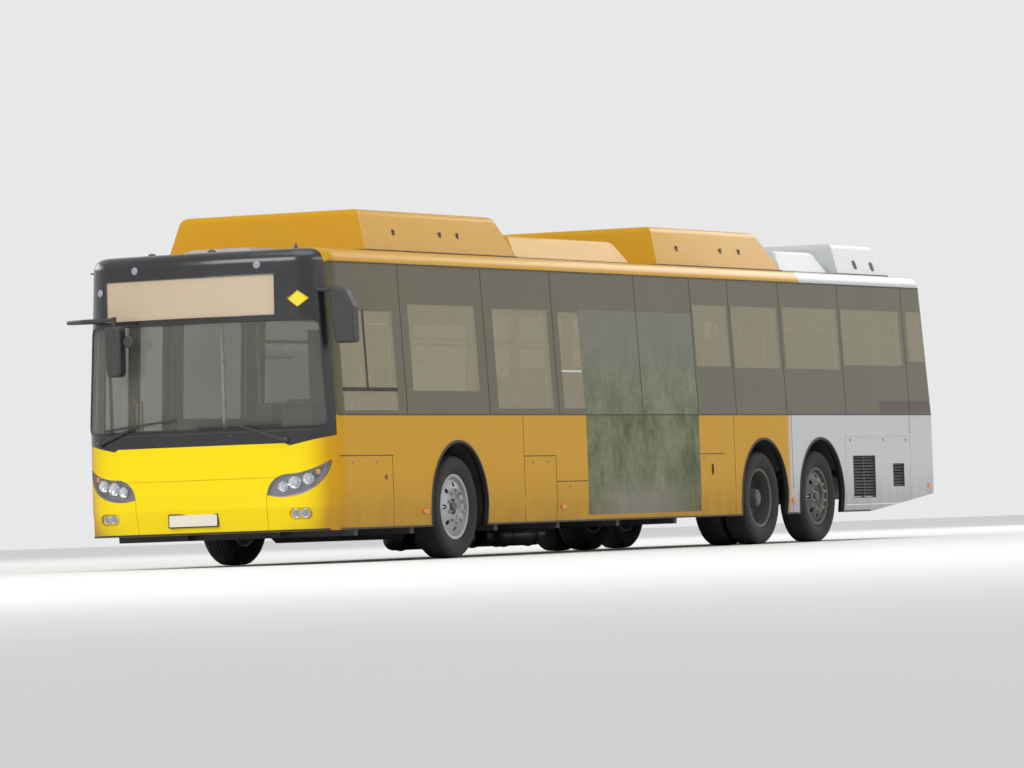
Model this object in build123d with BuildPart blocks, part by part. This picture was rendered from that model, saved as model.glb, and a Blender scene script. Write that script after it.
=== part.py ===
"""A three-axle low-entry city bus: hull, glazing, doors, running gear and cabin, in millimetres.

X points forward, Y to the bus's left and Z up. The origin lies on the ground under the middle
of the bus, mirrors included. Places along the sides are given as distances behind the front axle.
"""

import os
from math import cos, radians, sqrt

from build123d import *

# Driving sizes of the whole bus
body_length = 14980.0
body_width = 2550.0
front_overhang = 2790.0
wheelbase = 7270.0
tag_spacing = 1530.0
skirt_z = 300.0
belt_z = 1330.0
gutter_z = 2710.0
roof_z = 2837.0
tumblehome = 0.048
mirror_reach = 150.0

# Panels
wall = 60.0
leaf = 40.0
glass = 8.0
nose_radius = 4500.0
nose_corner = 340.0
tail_radius = 9000.0
tail_corner = 160.0
roof_shoulder = 120.0
nose_seam_back = 330.0
tail_seam_in = 200.0
pane_gap = 4.0
lid_gap = 6.0
overcut = 300.0
lamp_set_back = 14.0
lamp_recess = 22.0
wiper_lift = (12.0, 30.0)
panel_line = 6.0

# Wheels and axles
tyre_radius = 478.0
tyre_width = 276.0
tyre_side_gap = 35.0
twin_spacing = 316.0
arch_radius = 600.0
liner_gap = 10.0
liner = 12.0
bead_radius = 286.0
bead_half = 98.0
fit_gap = 0.3
spindle_r = 50.0
spindle_gap = 0.05
hub_r = 112.0
kingpin_inset = 120.0
kingpin_r = 25.0
eye_r = 50.0
eye_half = 80.0
running_gap = 6.0

# Floors and frame
low_floor_z = 370.0
high_floor_z = 800.0
bay_floor_z = 1130.0
floor_t = 50.0
step_front = 5450.0
step_depth = 300.0
bay_front = 9500.0
front_liner_inner = 570.0
rear_liner_inner = 590.0
rail_y = 470.0
rail_w = 80.0
rail_h = 75.0
tow_bore_r = 20.0

# Doorways
door_sill_z = 375.0
door_head_z = 2330.0
door_width = 1300.0
front_door_at = -2280.0
middle_door_at = 2600.0
leaf_meeting_gap = 36.0
leaf_gap = 8.0
door_frame = 62.0
post_in = 34.0
post_depth = 125.0
post_r = 16.0
pivot_r = 10.0
pivot_length = 32.0

half_width = body_width / 2
nose_x = (body_length - mirror_reach) / 2
tail_x = nose_x - body_length
front_axle_x = nose_x - front_overhang
drive_axle_x = front_axle_x - wheelbase
tag_axle_x = drive_axle_x - tag_spacing
nose_seam_x = nose_x - nose_seam_back
tail_seam_x = tail_x + tail_seam_in
wheel_z = tyre_radius
wheel_y = half_width - tyre_side_gap - tyre_width / 2
inner_wheel_y = wheel_y - twin_spacing
kingpin_y = wheel_y - kingpin_inset
ceiling_z = roof_z - wall
post_y = -(half_width - post_depth)
liner_radius = arch_radius + liner_gap + liner

levels = (
    # height, half width, nose set back, tail set in
    (skirt_z, half_width - 13.0, 45.0, 30.0),
    (520.0, half_width, 0.0, 0.0),
    (belt_z, half_width, 15.0, 0.0),
    (roof_z, half_width - tumblehome * (roof_z - belt_z), 60.0, 110.0),
)

os.makedirs("parts", exist_ok=True)


def behind(distance):
    """X of a place that lies this far behind the front axle."""
    return front_axle_x - distance


def level_at(height):
    """Half width, nose set-back and tail set-in of the hull at one height."""
    for low, high in zip(levels, levels[1:]):
        if height <= high[0]:
            break
    share = (height - low[0]) / (high[0] - low[0])
    return tuple(a + share * (b - a) for a, b in zip(low[1:], high[1:]))


def hull(inset, bottom, top):
    """The bus's outer form, or a smaller one that runs parallel to it inside."""
    heights = [bottom] + [row[0] for row in levels if bottom < row[0] < top] + [top]
    with BuildPart() as form:
        for height in heights:
            half, nose_back, tail_in = level_at(height)
            half = half - inset
            nose = nose_x - nose_back - inset
            tail = tail_x + tail_in + inset
            nose_sag = nose_radius - sqrt(nose_radius**2 - half**2)
            tail_sag = tail_radius - sqrt(tail_radius**2 - half**2)
            with BuildSketch(Plane.XY.offset(height)) as outline:
                with BuildLine():
                    front = ThreePointArc((nose - nose_sag, -half), (nose, 0), (nose - nose_sag, half))
                    rear = ThreePointArc((tail + tail_sag, half), (tail, 0), (tail + tail_sag, -half))
                    Line(front @ 1, rear @ 0)
                    Line(rear @ 1, front @ 0)
                make_face()
                corners = outline.vertices().group_by(Axis.X)
                fillet(corners[-1], nose_corner - inset)
                fillet(outline.vertices().group_by(Axis.X)[0], tail_corner - inset)
        loft(ruled=True)
        fillet(form.faces().sort_by(Axis.Z)[-1].edges(), roof_shoulder - inset)
    return form.part


def keep(name, piece):
    """Labels a finished piece and writes it out."""
    piece.part.label = name
    export_step(piece.part, "parts/" + name + ".step")


def span_box(x_range, y_range, z_range, mode=Mode.ADD):
    """A box between two places on each axis."""
    centre = [(low + high) / 2 for low, high in (x_range, y_range, z_range)]
    size = [abs(high - low) for low, high in (x_range, y_range, z_range)]
    with Locations(Location(tuple(centre))):
        return Box(*size, mode=mode)


def side_range(side, inner, outer):
    """A range of Y on one side of the bus, side being 1 on the left and -1 on the right."""
    return (side * inner, side * outer)


def skin_patch(skin, x_range, y_range, z_range):
    """The part of a skin that lies inside a box."""
    with BuildPart() as patch:
        add(skin)
        span_box(x_range, y_range, z_range, mode=Mode.INTERSECT)
    return patch.part


outer_form = hull(0.0, skirt_z, roof_z)
glass_form = hull(glass, skirt_z - 50, roof_z - glass)
leaf_form = hull(leaf, skirt_z - 50, roof_z - leaf)
inner_form = hull(wall, skirt_z - 100, ceiling_z)
lamp_form = hull(lamp_set_back, skirt_z - 50, roof_z - lamp_set_back)
recess_form = hull(lamp_recess, skirt_z - 50, belt_z)
wiper_low, wiper_high = (hull(-lift, skirt_z, roof_z) for lift in wiper_lift)

with BuildPart() as shell:
    add(outer_form)
    add(inner_form, mode=Mode.SUBTRACT)

with BuildPart() as leaf_skin:
    add(outer_form)
    add(leaf_form, mode=Mode.SUBTRACT)

with BuildPart() as glass_skin:
    add(outer_form)
    add(glass_form, mode=Mode.SUBTRACT)

# The tail's underside rises behind this place
ramp_from = 10200.0
ramp_rise = 190.0
with BuildPart() as tail_ramp:
    with BuildSketch(Plane.XZ.offset(-body_width)):
        with BuildLine():
            Polyline(
                (behind(ramp_from), skirt_z),
                (tail_x - overcut, skirt_z + ramp_rise * (1 + overcut / 2000)),
                (tail_x - overcut, 0),
                (behind(ramp_from), 0),
                close=True,
            )
        make_face()
    extrude(amount=2 * body_width)

# Windows: the glass bands, where their panes meet, and the clear lights cut in the walls
tail_seam_at = front_axle_x - tail_seam_x
left_bands = (
    # front, rear, places where panes meet
    (-2440, tail_seam_at, (-1050, 720, 2270, 4250, 5620, 6590, 7920, 9540, 11360)),
)
right_bands = (
    (-860, 2480, (720,)),
    (4020, tail_seam_at, (5620, 6590, 7920, 9540, 11360)),
)
left_lights = (
    # front, rear, sill, head
    (-2330, -1850, 1570, 2270),
    (-1810, -1230, 1570, 2270),
    (-2330, -1230, 1370, 1550),
    (-890, 530, 1550, 2345),
    (920, 2150, 1390, 2330),
    (2400, 4130, 1390, 2320),
    (4370, 5500, 1390, 2320),
    (5670, 6530, 1820, 2440),
    (6650, 7840, 1810, 2440),
    (8000, 9480, 1810, 2450),
    (9600, 11260, 1860, 2450),
    (11470, 11940, 1910, 2450),
)
right_lights = (
    (-740, 530, 1390, 2345),
    (920, 2360, 1390, 2330),
    (4140, 5500, 1390, 2320),
    (5670, 6530, 1820, 2440),
    (6650, 7840, 1810, 2440),
    (8000, 9480, 1810, 2450),
    (9600, 11260, 1860, 2450),
    (11470, 11940, 1910, 2450),
)
light_corner = 40.0

# Side flaps in the left wall: front, rear, low and high edges
engine_flap_at = (9475, 11330, 372, 1115)
doorways = (
    # name, front edge
    ("front", front_door_at),
    ("middle", middle_door_at),
)
post_places = [
    behind(edge + inset)
    for _, edge in doorways
    for inset in (post_in, door_width - post_in)
]


def cut_lights(side, lights):
    """Cuts the clear lights through one wall."""
    for front, rear, sill, head in lights:
        with BuildSketch(Plane.XZ.offset(-side * (half_width + overcut))) as light:
            with Locations(((behind(front) + behind(rear)) / 2, (sill + head) / 2)):
                RectangleRounded(rear - front, head - sill, light_corner)
        extrude(light.sketch, amount=side * 2 * overcut, mode=Mode.SUBTRACT)


def cut_arches():
    """Cuts the six wheel arches through both walls."""
    for axle_x in (front_axle_x, drive_axle_x, tag_axle_x):
        with BuildSketch(Plane.XZ.offset(-body_width)) as arch:
            with Locations((axle_x, wheel_z)):
                Circle(arch_radius)
            with Locations((axle_x, wheel_z / 2)):
                Rectangle(2 * arch_radius * cos(radians(12)), wheel_z)
        extrude(arch.sketch, amount=2 * body_width, mode=Mode.SUBTRACT)


def build_wall(side, bands, lights):
    """One long side of the hull, from skirt to gutter, with its rebate for the glass."""
    outward = side_range(side, 0, body_width)
    rebates = [
        skin_patch(glass_skin.part, (behind(rear), behind(front)), outward, (belt_z, gutter_z))
        for front, rear, _ in bands
    ]
    with BuildPart() as panel:
        add(shell.part)
        span_box((tail_seam_x, nose_seam_x), outward, (skirt_z, gutter_z), mode=Mode.INTERSECT)
        add(rebates, mode=Mode.SUBTRACT)
        cut_lights(side, lights)
        cut_arches()
        add(tail_ramp.part, mode=Mode.SUBTRACT)
    return panel


left_wall = build_wall(1, left_bands, left_lights)
with BuildPart() as left_wall_cut:
    add(left_wall.part)
    front, rear, low, high = engine_flap_at
    span_box(
        (behind(rear), behind(front)),
        (0, body_width),
        (low, high),
        mode=Mode.SUBTRACT,
    )
keep("left_wall", left_wall_cut)

right_wall = build_wall(-1, right_bands, right_lights)
with BuildPart() as right_wall_cut:
    add(right_wall.part)
    for _, edge in doorways:
        span_box(
            (behind(edge + door_width), behind(edge)),
            (-body_width, 0),
            (door_sill_z, door_head_z),
            mode=Mode.SUBTRACT,
        )
    for post_x in post_places:
        span_box(
            (post_x - 35, post_x + 35),
            (post_y - post_r - leaf_gap, post_y + 2 * post_r),
            (door_head_z + leaf_gap, door_head_z + leaf_gap + pivot_length),
        )
        with Locations((post_x, post_y, door_head_z + leaf_gap + pivot_length / 2)):
            Cylinder(pivot_r + spindle_gap, 2 * pivot_length, mode=Mode.SUBTRACT)
keep("right_wall", right_wall_cut)

panes = []
for side, bands in ((1, left_bands), (-1, right_bands)):
    for front, rear, meets in bands:
        edges = (front,) + meets + (rear,)
        for ahead, aft in zip(edges, edges[1:]):
            pane_x = (behind(aft) + pane_gap / 2, behind(ahead) - pane_gap / 2)
            pane_z = (belt_z + fit_gap, gutter_z - fit_gap)
            panes.append(skin_patch(glass_skin.part, pane_x, side_range(side, 0, body_width), pane_z))
with BuildPart() as side_windows:
    add(panes)
keep("side_windows", side_windows)

with BuildPart() as roof:
    add(shell.part)
    span_box(
        (tail_seam_x, nose_seam_x),
        (-body_width, body_width),
        (gutter_z, roof_z + overcut),
        mode=Mode.INTERSECT,
    )
keep("roof", roof)

# Nose: windscreen, blank destination sign and lamps are cut from the same skins as their panels
screen_outline = (
    # across, height
    (-1212.0, 1240.0),
    (1212.0, 1240.0),
    (1150.0, 2200.0),
    (-1150.0, 2200.0),
)
screen_corner = 70.0
sign_y = (-950.0, 780.0)
sign_z = (2246.0, 2612.0)
diamond_at = (987.0, 2384.0)
diamond_half = (100.0, 80.0)
cowl_line = (
    # across, height of the mask's lower edge
    (850.0, 1092.0),
    (890.0, 1070.0),
    (1226.0, 1143.0),
    (1400.0, 1200.0),
)
headlamp_arcs = (
    # where an arc starts, then a place on its way; the next row's start ends it
    (664, 632, 735, 770),
    (880, 816, 1060, 850),
    (1222, 935, 1165, 760),
    (1040, 655, 852, 612),
)
headlamp_dishes = (
    # across, height, dish radius, dome radius
    (815, 706, 46, 20),
    (920, 738, 56, 27),
    (1045, 768, 50, 24),
)
dish_depth = 38.0
dome_set_back = 12.0
fog_lamps = (
    # across, height
    (925.0, 459.0),
    (1012.0, 459.0),
)
fog_lamp_r = 38.0
fog_recess = (210.0, 104.0)
bumper_joint_z = 788.0
bumper_joint_half = 758.0
bumper_split = (
    # across, height
    (664.0, 640.0),
    (664.0 + panel_line, 640.0),
    (652.0 + panel_line, 250.0),
    (652.0, 250.0),
)


def nose_at(across):
    """X of the nose's surface at bumper height, this far from the middle."""
    ring = nose_radius - nose_corner
    turn_y = half_width - nose_corner
    if abs(across) < nose_radius * turn_y / ring:
        return nose_x - nose_radius + sqrt(nose_radius**2 - across**2)
    corner_x = nose_x - nose_radius + sqrt(ring**2 - turn_y**2)
    return corner_x + sqrt(nose_corner**2 - (abs(across) - turn_y) ** 2)


def through_nose(outline, mode):
    """Carries a front-view outline through the nose."""
    extrude(outline.sketch, amount=overcut + nose_seam_back, mode=mode)


def headlamp_prism(side, mode):
    """A headlamp's outline, four arcs, carried through the nose."""
    with BuildSketch(Plane.YZ.offset(nose_seam_x)) as outline:
        with BuildLine():
            for row, after in zip(headlamp_arcs, headlamp_arcs[1:] + headlamp_arcs[:1]):
                start = (side * row[0], row[1])
                ThreePointArc(start, (side * row[2], row[3]), (side * after[0], after[1]))
        make_face()
    through_nose(outline, mode)


def screen_prism(mode):
    """The windscreen's outline carried through the nose."""
    with BuildSketch(Plane.YZ.offset(nose_seam_x)) as outline:
        with BuildLine():
            Polyline(*screen_outline, close=True)
        make_face()
        fillet(outline.vertices(), screen_corner)
    through_nose(outline, mode)


def sign_prism(mode):
    """The outlines of the destination sign and the diamond sign carried through the nose."""
    with BuildSketch(Plane.YZ.offset(nose_seam_x)) as outline:
        with Locations((sum(sign_y) / 2, sum(sign_z) / 2)):
            RectangleRounded(sign_y[1] - sign_y[0], sign_z[1] - sign_z[0], 12)
        reach, rise = diamond_half
        with Locations(diamond_at):
            Polygon((-reach, 0), (0, -rise), (reach, 0), (0, rise))
    through_nose(outline, mode)


def fog_prism(side, mode):
    """The two round fog lamps of one side carried through the nose."""
    with BuildSketch(Plane.YZ.offset(nose_seam_x)) as outline:
        with Locations(*[(side * across, height) for across, height in fog_lamps]):
            Circle(fog_lamp_r)
    through_nose(outline, mode)


def cowl_prism(mode):
    """Everything in the nose below the black mask."""
    left_half = list(cowl_line)
    right_half = [(-across, height) for across, height in reversed(cowl_line)]
    with BuildSketch(Plane.YZ.offset(nose_seam_x)) as outline:
        with BuildLine():
            Polyline(*right_half, *left_half, (1400, 0), (-1400, 0), close=True)
        make_face()
    through_nose(outline, mode)


def fog_pocket(side):
    """What is sunk in the bumper about one side's fog lamps."""
    with BuildPart() as pocket:
        with BuildSketch(Plane.YZ.offset(nose_seam_x)):
            with Locations((side * (fog_lamps[0][0] + fog_lamps[1][0]) / 2, fog_lamps[0][1])):
                SlotOverall(*fog_recess)
        extrude(amount=overcut + nose_seam_back)
        add(recess_form, mode=Mode.SUBTRACT)
    return pocket.part


def bumper_joints():
    """The thin joints about the bumper's middle panel."""
    with BuildPart() as joints:
        with BuildSketch(Plane.YZ.offset(nose_seam_x)):
            with Locations((0, bumper_joint_z)):
                Rectangle(2 * bumper_joint_half, panel_line)
            for side in (1, -1):
                with BuildLine():
                    Polyline(*[(side * across, height) for across, height in bumper_split], close=True)
                make_face()
        extrude(amount=overcut + nose_seam_back)
        add(glass_form, mode=Mode.SUBTRACT)
    return joints.part


def headlamp_body(side):
    """What stands behind a headlamp's lens: a body with dishes sunk in it and a dome in each."""
    with BuildPart() as body:
        headlamp_prism(side, Mode.ADD)
        add(lamp_form, mode=Mode.INTERSECT)
        add(inner_form, mode=Mode.SUBTRACT)
        for across, height, dish_r, dome_r in headlamp_dishes:
            mouth_x = nose_at(across) - lamp_set_back / 2
            with Locations(Location((mouth_x - dish_depth / 2, side * across, height), (0, 90, 0))):
                Cone(0.6 * dish_r, dish_r, dish_depth, mode=Mode.SUBTRACT)
            with Locations((mouth_x - dome_set_back - dome_r, side * across, height)):
                Sphere(dome_r)
    return body.part


nose_range = (nose_seam_x, nose_x + overcut)
with BuildPart() as front_mask:
    add(shell.part)
    span_box(nose_range, (-body_width, body_width), (skirt_z, roof_z + overcut), mode=Mode.INTERSECT)
    cowl_prism(Mode.SUBTRACT)
    screen_prism(Mode.SUBTRACT)
    sign_prism(Mode.SUBTRACT)
keep("front_mask", front_mask)

with BuildPart() as windscreen:
    screen_prism(Mode.ADD)
    add(glass_skin.part, mode=Mode.INTERSECT)
keep("windscreen", windscreen)

with BuildPart() as sign_panel:
    sign_prism(Mode.ADD)
    add(leaf_skin.part, mode=Mode.INTERSECT)
    add(glass_skin.part, mode=Mode.SUBTRACT)
keep("sign_panel", sign_panel)

pockets = [fog_pocket(side) for side in (1, -1)]
joints = bumper_joints()
with BuildPart() as front_bumper:
    add(shell.part)
    span_box(nose_range, (-body_width, body_width), (skirt_z, belt_z), mode=Mode.INTERSECT)
    cowl_prism(Mode.INTERSECT)
    add(pockets + [joints], mode=Mode.SUBTRACT)
    for side in (1, -1):
        headlamp_prism(side, Mode.SUBTRACT)
        fog_prism(side, Mode.SUBTRACT)
keep("front_bumper", front_bumper)

# Tail: rear window, engine lid and the lamp columns
rear_window_half = 930.0
rear_window_z = (1760.0, 2460.0)
engine_lid_half = 930.0
engine_lid_z = (640.0, 1560.0)
tail_lamp_y = (1000.0, 1120.0)
tail_lamp_z = (760.0, 1330.0)
tail_round_z = (855.0, 1045.0, 1235.0)
tail_round_r = 50.0
tail_round_x = 50.0
lid_grille_half = 720.0
lid_grille_z = (700.0, 1050.0)
vane_t = 6.0
vane_pitch = 32.0
vane_rise = 0.7
barrel_r = 5.7
lid_lug_y = 500.0
lid_lug_length = 110.0
lid_lug_h = 25.0
lid_hinge_z = engine_lid_z[1] - barrel_r - fit_gap
lid_hinge_x = tail_x + level_at(lid_hinge_z)[2]


def tail_prism(half_range, z_range, corner, mode):
    """A rounded rear-view rectangle carried through the tail."""
    with BuildSketch(Plane.YZ.offset(tail_x - overcut)) as outline:
        with Locations((sum(half_range) / 2, sum(z_range) / 2)):
            RectangleRounded(abs(half_range[1] - half_range[0]), z_range[1] - z_range[0], corner)
    extrude(outline.sketch, amount=overcut + tail_seam_in + wall, mode=mode)


with BuildPart() as rear_wall:
    add(shell.part)
    span_box(
        (tail_x - overcut, tail_seam_x),
        (-body_width, body_width),
        (skirt_z, roof_z + overcut),
        mode=Mode.INTERSECT,
    )
    tail_prism((-rear_window_half, rear_window_half), rear_window_z, 60, Mode.SUBTRACT)
    tail_prism((-engine_lid_half, engine_lid_half), engine_lid_z, 20, Mode.SUBTRACT)
    for side in (1, -1):
        tail_prism(side_range(side, *tail_lamp_y), tail_lamp_z, 20, Mode.SUBTRACT)
        span_box(
            (lid_hinge_x - barrel_r, lid_hinge_x + wall),
            side_range(side, lid_lug_y, lid_lug_y + lid_lug_length),
            (lid_hinge_z + barrel_r + fit_gap, lid_hinge_z + 2 * lid_lug_h),
        )
    add(tail_ramp.part, mode=Mode.SUBTRACT)
keep("rear_wall", rear_wall)

with BuildPart() as rear_window:
    tail_prism((-rear_window_half, rear_window_half), rear_window_z, 60, Mode.ADD)
    add(glass_skin.part, mode=Mode.INTERSECT)
keep("rear_window", rear_window)

with BuildPart() as vane_skin:
    add(leaf_skin.part)
    add(glass_skin.part, mode=Mode.SUBTRACT)


def vanes_of(plane, length, outer, low, high):
    """Slanted vanes that rise inwards from the skin, one above the other, along one length."""
    count = int((high - low) / vane_pitch) + 2
    depth = leaf + wall
    with BuildPart() as vanes:
        with BuildSketch(plane):
            for place in range(count):
                foot = low + (place - 1) * vane_pitch
                with BuildLine():
                    Polyline(
                        (outer, foot),
                        (outer, foot + vane_t),
                        (outer + depth, foot + vane_t + vane_rise * depth),
                        (outer + depth, foot + vane_rise * depth),
                        close=True,
                    )
                make_face()
        extrude(amount=length)
    return vanes.part


def grille(vanes, x_range, y_range, z_range, bars):
    """Vanes and upright bars cut to one opening and to the skin's form."""
    with BuildPart() as piece:
        add(vanes)
        for bar_x, bar_y in bars:
            span_box(bar_x, bar_y, z_range)
        span_box(x_range, y_range, z_range, mode=Mode.INTERSECT)
        add(vane_skin.part, mode=Mode.INTERSECT)
    return piece.part


lid_vanes = vanes_of(Plane.XZ.offset(-lid_grille_half), 2 * lid_grille_half, tail_x, *lid_grille_z)
lid_bars = [
    ((tail_x, tail_x + 2 * wall), (across - 8, across + 8))
    for across in (-lid_grille_half / 2, 0, lid_grille_half / 2)
]
lid_grille_x = (tail_x - overcut, tail_x + tail_seam_in)
lid_grille = grille(
    lid_vanes, lid_grille_x, (-lid_grille_half, lid_grille_half), lid_grille_z, lid_bars
)
with BuildPart() as engine_lid:
    lid_half = engine_lid_half - lid_gap
    lid_z = (engine_lid_z[0] + lid_gap, engine_lid_z[1] - lid_gap)
    tail_prism((-lid_half, lid_half), lid_z, 14, Mode.ADD)
    add(leaf_skin.part, mode=Mode.INTERSECT)
    span_box(lid_grille_x, (-lid_grille_half, lid_grille_half), lid_grille_z, mode=Mode.SUBTRACT)
    add(lid_grille)
    for side in (1, -1):
        span_box(
            (lid_hinge_x - barrel_r, lid_hinge_x + leaf),
            side_range(side, lid_lug_y, lid_lug_y + lid_lug_length),
            (lid_hinge_z - lid_lug_h, lid_hinge_z),
        )
        lug_middle = (lid_hinge_x, side * (lid_lug_y + lid_lug_length / 2), lid_hinge_z)
        with Locations(Location(lug_middle, (90, 0, 0))):
            Cylinder(barrel_r, lid_lug_length)
keep("engine_lid", engine_lid)

flap_grilles = (
    # front, rear, low, high, upright bars
    (9690, 10300, 450, 890, (9995,)),
    (10820, 11130, 560, 800, ()),
)
grilles = []
for front, rear, low, high, bars in flap_grilles:
    flap_vanes = vanes_of(
        Plane(origin=(behind(rear), 0, 0), x_dir=(0, -1, 0), z_dir=(-1, 0, 0)),
        front - rear,
        -half_width,
        low,
        high,
    )
    bar_ranges = [((behind(at) - 8, behind(at) + 8), (half_width - 2 * wall, half_width)) for at in bars]
    grilles.append(
        grille(flap_vanes, (behind(rear), behind(front)), (0, body_width), (low, high), bar_ranges)
    )
with BuildPart() as engine_flap:
    front, rear, low, high = engine_flap_at
    add(leaf_skin.part)
    span_box(
        (behind(rear) + lid_gap, behind(front) - lid_gap),
        (0, body_width),
        (low + lid_gap, high - lid_gap),
        mode=Mode.INTERSECT,
    )
    add(tail_ramp.part, mode=Mode.SUBTRACT)
    for grille_front, grille_rear, grille_low, grille_high, _ in flap_grilles:
        span_box(
            (behind(grille_rear), behind(grille_front)),
            (0, body_width),
            (grille_low, grille_high),
            mode=Mode.SUBTRACT,
        )
    add(grilles)
    flap_middle = (behind((front + rear) / 2), half_width, high - lid_gap)
    with Locations(Location(flap_middle, (0, 90, 0))):
        Cylinder(barrel_r, rear - front - 2 * lid_gap)
keep("engine_flap", engine_flap)

marker_places = (
    # behind the front axle, height
    (-754, 443),
    (2279, 448),
    (8017, 443),
    (11850, 560),
)
marker_half = (45.0, 19.0)
marker_proud = 12.0


def headlamp_lens(side):
    """A headlamp's clear cover, flush with the bumper."""
    with BuildPart() as lens:
        headlamp_prism(side, Mode.ADD)
        add(glass_skin.part, mode=Mode.INTERSECT)
    return lens.part


def fog_lamp_pair(side):
    """The two fog lamps of one side, a little proud of their recess."""
    with BuildPart() as pair:
        fog_prism(side, Mode.ADD)
        add(lamp_form, mode=Mode.INTERSECT)
        add(leaf_form, mode=Mode.SUBTRACT)
    return pair.part


def tail_column(side):
    """A tail lamp: a sunk plate with three round lenses that stand out of it."""
    middle_y = side * sum(tail_lamp_y) / 2
    with BuildPart() as column:
        tail_prism(side_range(side, *tail_lamp_y), tail_lamp_z, 20, Mode.ADD)
        add(vane_skin.part, mode=Mode.INTERSECT)
        with BuildSketch(Plane.YZ.offset(tail_x + tail_round_x)) as rounds:
            with Locations(*[(middle_y, height) for height in tail_round_z]):
                Circle(tail_round_r)
        extrude(rounds.sketch, amount=leaf)
    return column.part


def side_marker(place, height, side):
    """A small lamp on the side, its back cut to the wall's form."""
    with BuildPart() as marker:
        span_box(
            (behind(place) - marker_half[0], behind(place) + marker_half[0]),
            side_range(side, half_width - wall / 2, half_width + marker_proud),
            (height - marker_half[1], height + marker_half[1]),
        )
        fillet(marker.edges().filter_by(Axis.Y), 15)
        add(outer_form, mode=Mode.SUBTRACT)
    return marker.part


lamp_pieces = []
for side in (1, -1):
    lamp_pieces += [headlamp_lens(side), headlamp_body(side), fog_lamp_pair(side), tail_column(side)]
    lamp_pieces += [side_marker(place, height, side) for place, height in marker_places]
with BuildPart() as lamps:
    add(lamp_pieces)
keep("lamps", lamps)

# Door leaves, each hinged at its own post and swinging in
leaf_sill_z = door_sill_z + leaf_gap
leaf_head_z = door_head_z - leaf_gap
arm_half = 12.0
arm_h = 40.0
arm_places = (
    # height, how far out the arm reaches into the leaf
    (leaf_sill_z + 70, half_width - leaf + 4),
    (leaf_head_z - 110, half_width - leaf - 22),
)
post_foot_z = low_floor_z + 2.0
post_head_z = door_head_z + 4.0
for doorway, edge in doorways:
    middle = edge + door_width / 2
    leaves = (
        # name, ahead, aft, hinge post
        ("front", edge + leaf_gap, middle - leaf_meeting_gap / 2, edge + post_in),
        ("rear", middle + leaf_meeting_gap / 2, edge + door_width - leaf_gap, edge + door_width - post_in),
    )
    for leaf_name, ahead, aft, post_at in leaves:
        window_x = (behind(aft) + door_frame, behind(ahead) - door_frame)
        window_z = (leaf_sill_z + 1.6 * door_frame, leaf_head_z - door_frame)
        with BuildPart() as door_leaf:
            add(leaf_skin.part)
            span_box(
                (behind(aft), behind(ahead)),
                (-body_width, 0),
                (leaf_sill_z, leaf_head_z),
                mode=Mode.INTERSECT,
            )
            span_box(window_x, (-body_width, 0), window_z, mode=Mode.SUBTRACT)
            with Locations((behind(post_at), post_y, (post_foot_z + post_head_z) / 2)):
                Cylinder(post_r, post_head_z - post_foot_z)
            with Locations((behind(post_at), post_y, (post_foot_z + post_head_z) / 2)):
                Cylinder(pivot_r, post_head_z - post_foot_z + 2 * pivot_length)
            for arm_z, reach in arm_places:
                span_box(
                    (behind(post_at) - arm_half, behind(post_at) + arm_half),
                    (-reach, post_y),
                    (arm_z, arm_z + arm_h),
                )
        keep(doorway + "_door_" + leaf_name, door_leaf)
        with BuildPart() as door_glass:
            add(glass_skin.part)
            span_box(window_x, (-body_width, 0), window_z, mode=Mode.INTERSECT)
        keep(doorway + "_door_" + leaf_name + "_glass", door_glass)

# Roof equipment: gas pods and the lower boxes between them
roof_pods = (
    # base front, top front, top rear, base rear, top height
    (-1300, -1215, 1670, 1980, 3232),
    (5290, 5390, 8040, 8520, 3240),
    (10080, 10150, 11280, 11510, 3180),
)
roof_low_boxes = (
    (2020, 2100, 4590, 4790, 3068),
    (8600, 8700, 9780, 9980, 3075),
)
low_front_r = 55.0
low_rear_r = 200.0
pod_half_base = 1020.0
pod_half_top = 905.0
pod_edge = 82.0


low_box_inset = 60.0
low_edge = 50.0


def pod_cover(row, half_base, half_top, edge, rounded_ends):
    """A closed cover on the roof: its side view crossed with its front view, upper edges rounded."""
    base_front, top_front, top_rear, base_rear, top_z = row
    with BuildPart() as cover:
        with BuildSketch(Plane.XZ.offset(-half_base)) as side_view:
            with BuildLine():
                Polyline(
                    (behind(base_front), roof_z),
                    (behind(top_front), top_z),
                    (behind(top_rear), top_z),
                    (behind(base_rear), roof_z),
                    close=True,
                )
            make_face()
            if rounded_ends:
                fillet(side_view.vertices().group_by(Axis.Y)[-1].sort_by(Axis.X)[-1], low_front_r)
                fillet(side_view.vertices().group_by(Axis.Y)[-1].sort_by(Axis.X)[0], low_rear_r)
        extrude(amount=2 * half_base)
        with BuildSketch(Plane.YZ.offset(behind(base_rear))) as front_view:
            with BuildLine():
                Polyline(
                    (-half_base, roof_z),
                    (-half_top, top_z),
                    (half_top, top_z),
                    (half_base, roof_z),
                    close=True,
                )
            make_face()
        extrude(amount=base_rear - base_front, mode=Mode.INTERSECT)
        upper_edges = [
            rim
            for rim in cover.edges()
            if abs(rim.center().Y) > half_top - 5 and rim.center().Z > roof_z + 5
        ]
        if not rounded_ends:
            upper_edges = cover.faces().sort_by(Axis.Z)[-1].edges()
        fillet(upper_edges, edge)
    return cover.part


covers = [pod_cover(row, pod_half_base, pod_half_top, pod_edge, False) for row in roof_pods]
with BuildPart() as roof_pod_set:
    add(covers)
keep("roof_pods", roof_pod_set)

low_base = pod_half_base - low_box_inset
low_top = pod_half_top - low_box_inset
covers = [pod_cover(row, low_base, low_top, low_edge, True) for row in roof_low_boxes]
with BuildPart() as roof_box_set:
    add(covers)
keep("roof_boxes", roof_box_set)

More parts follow.
